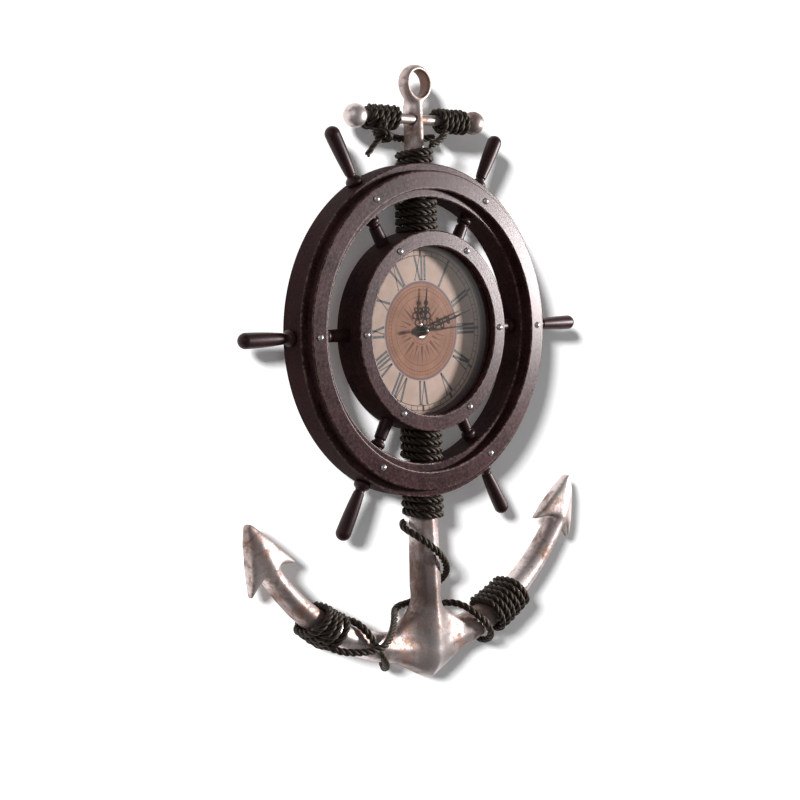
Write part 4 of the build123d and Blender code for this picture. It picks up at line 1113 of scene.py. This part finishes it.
class CLOCK_OT_stage(bpy.types.Operator):
    """Set up the wall, the lamps and the camera"""

    bl_idname = "clock.stage"
    bl_label = "Stage"

    def execute(self, context):
        stage = context.scene.clock_stage
        scene = context.scene
        scene.view_settings.view_transform = "Standard"
        self.camera(scene, stage.lens)
        wall = self.wall(scene)
        self.world(scene, stage.ambient)
        key = soft_box("key_lamp", stage.key, size=0.26, azimuth=56.0, elevation=3.5, distance=1.8)
        fill = soft_box("fill_lamp", stage.fill, size=1.2, azimuth=-62.0, elevation=20.0, distance=2.2)
        back = soft_box("back_lamp", stage.back, size=1.6, azimuth=168.0, elevation=20.0, distance=2.0)
        sun = aimed_lamp("wall_sun", "SUN", stage.wall, azimuth=-58.0, elevation=20.0, distance=2.2)
        sun.data.angle = math.radians(SUN_SPREAD)
        for lamp, state in ((key, "EXCLUDE"), (fill, "EXCLUDE"), (back, "EXCLUDE"), (sun, "INCLUDE")):
            receivers = bpy.data.collections.new(f"{lamp.name}_receivers")
            receivers.objects.link(wall)
            receivers.collection_objects[0].light_linking.link_state = state
            lamp.light_linking.receiver_collection = receivers
        return {"FINISHED"}

    def camera(self, scene, lens):
        """The camera at the photograph's place and angle."""
        azimuth, roll = math.radians(CAMERA_AZIMUTH), math.radians(CAMERA_ROLL)
        back = outwards(CAMERA_AZIMUTH, CAMERA_ELEVATION)
        right = Vector((math.cos(azimuth), math.sin(azimuth), 0.0))
        up = back.cross(right)
        rolled_right = right * math.cos(roll) - up * math.sin(roll)
        rolled_up = right * math.sin(roll) + up * math.cos(roll)
        offset = back * CAMERA_BACK - rolled_right * CAMERA_LEFT - rolled_up * CAMERA_DOWN
        data = bpy.data.cameras.new("camera")
        data.lens = lens
        data.sensor_width = SENSOR_WIDTH
        camera = bpy.data.objects.new("camera", data)
        turn = Matrix((rolled_right, rolled_up, back)).transposed().to_4x4()
        camera.matrix_world = Matrix.Translation(offset + CAMERA_PIVOT) @ turn
        scene.collection.objects.link(camera)
        scene.camera = camera

    def wall(self, scene):
        """A white wall just behind the rope, for the camera and reflections, and only from the front."""
        mesh = bmesh.new()
        middle = Matrix.Translation((0.0, cad_box[1][1] + WALL_GAP, LIT_MIDDLE.z))
        facing = Matrix.Rotation(math.radians(90), 4, "X")
        bmesh.ops.create_grid(mesh, x_segments=1, y_segments=1, size=WALL_HALF, matrix=middle @ facing)
        data = bpy.data.meshes.new("wall")
        mesh.to_mesh(data)
        mesh.free()
        wall = bpy.data.objects.new("wall", data)
        scene.collection.objects.link(wall)
        finish = Finish("wall_white")
        sockets = {
            "Base Color": WHITE,
            "Roughness": 1.0,
            "Specular IOR Level": 0.0,
            "Emission Color": WHITE,
            "Emission Strength": 0.08,
        }
        paint = finish.node("ShaderNodeBsdfPrincipled", None, sockets)
        clear = finish.node("ShaderNodeBsdfTransparent")
        behind = finish.node("ShaderNodeNewGeometry", out="Backfacing")
        seen = finish.node("ShaderNodeLightPath", out="Is Camera Ray")
        mirrored = finish.node("ShaderNodeLightPath", out="Is Glossy Ray")
        unseen = behind.most(1 - seen.most(mirrored))
        mixed = finish.node("ShaderNodeMixShader", None, {0: unseen, 1: paint, 2: clear})
        data.materials.append(finish.show(mixed))
        return wall

    def world(self, scene, strength):
        """Even light all round, and white where the camera looks past the wall."""
        finish = Finish("surroundings", "worlds")
        seen = finish.node("ShaderNodeLightPath", out="Is Camera Ray")
        light = finish.node("ShaderNodeBackground", None, {"Color": WHITE, "Strength": strength})
        white = finish.node("ShaderNodeBackground", None, {"Color": WHITE, "Strength": 1.0})
        mixed = finish.node("ShaderNodeMixShader", None, {0: seen, 1: light, 2: white})
        scene.world = finish.show(mixed, "ShaderNodeOutputWorld")


STEPS = (
    CLOCK_OT_stage,
    CLOCK_OT_wood,
    CLOCK_OT_metal,
    CLOCK_OT_rope,
    CLOCK_OT_dial,
    CLOCK_OT_hands,
    CLOCK_OT_movement,
)
GROUPS = {
    "clock_wood": ClockWood,
    "clock_silver": ClockSilver,
    "clock_rope": ClockRope,
    "clock_dial": ClockDial,
    "clock_stage": ClockStage,
}


class CLOCK_PT_panel(bpy.types.Panel):
    """Lists the clock's settings and steps"""

    bl_idname = "CLOCK_PT_panel"
    bl_label = "Ship's Wheel Clock"
    bl_space_type = "VIEW_3D"
    bl_region_type = "UI"
    bl_category = "Clock"

    def draw(self, context):
        for step in STEPS:
            self.layout.operator(step.bl_idname)
        for name, group in GROUPS.items():
            box = self.layout.box()
            for key in group.__annotations__:
                box.prop(getattr(context.scene, name), key)


def register():
    for group in GROUPS.values():
        bpy.utils.register_class(group)
    for name, group in GROUPS.items():
        setattr(bpy.types.Scene, name, PointerProperty(type=group))
    for step in (*STEPS, CLOCK_PT_panel):
        bpy.utils.register_class(step)


def unregister():
    for step in (CLOCK_PT_panel, *reversed(STEPS)):
        bpy.utils.unregister_class(step)
    for name in GROUPS:
        delattr(bpy.types.Scene, name)
    for group in reversed(GROUPS.values()):
        bpy.utils.unregister_class(group)


def main():
    """Registers the add-on and runs its steps in order."""
    register()
    for step in STEPS:
        area, name = step.bl_idname.split(".")
        getattr(getattr(bpy.ops, area), name)()


if __name__ == "__main__":
    main()
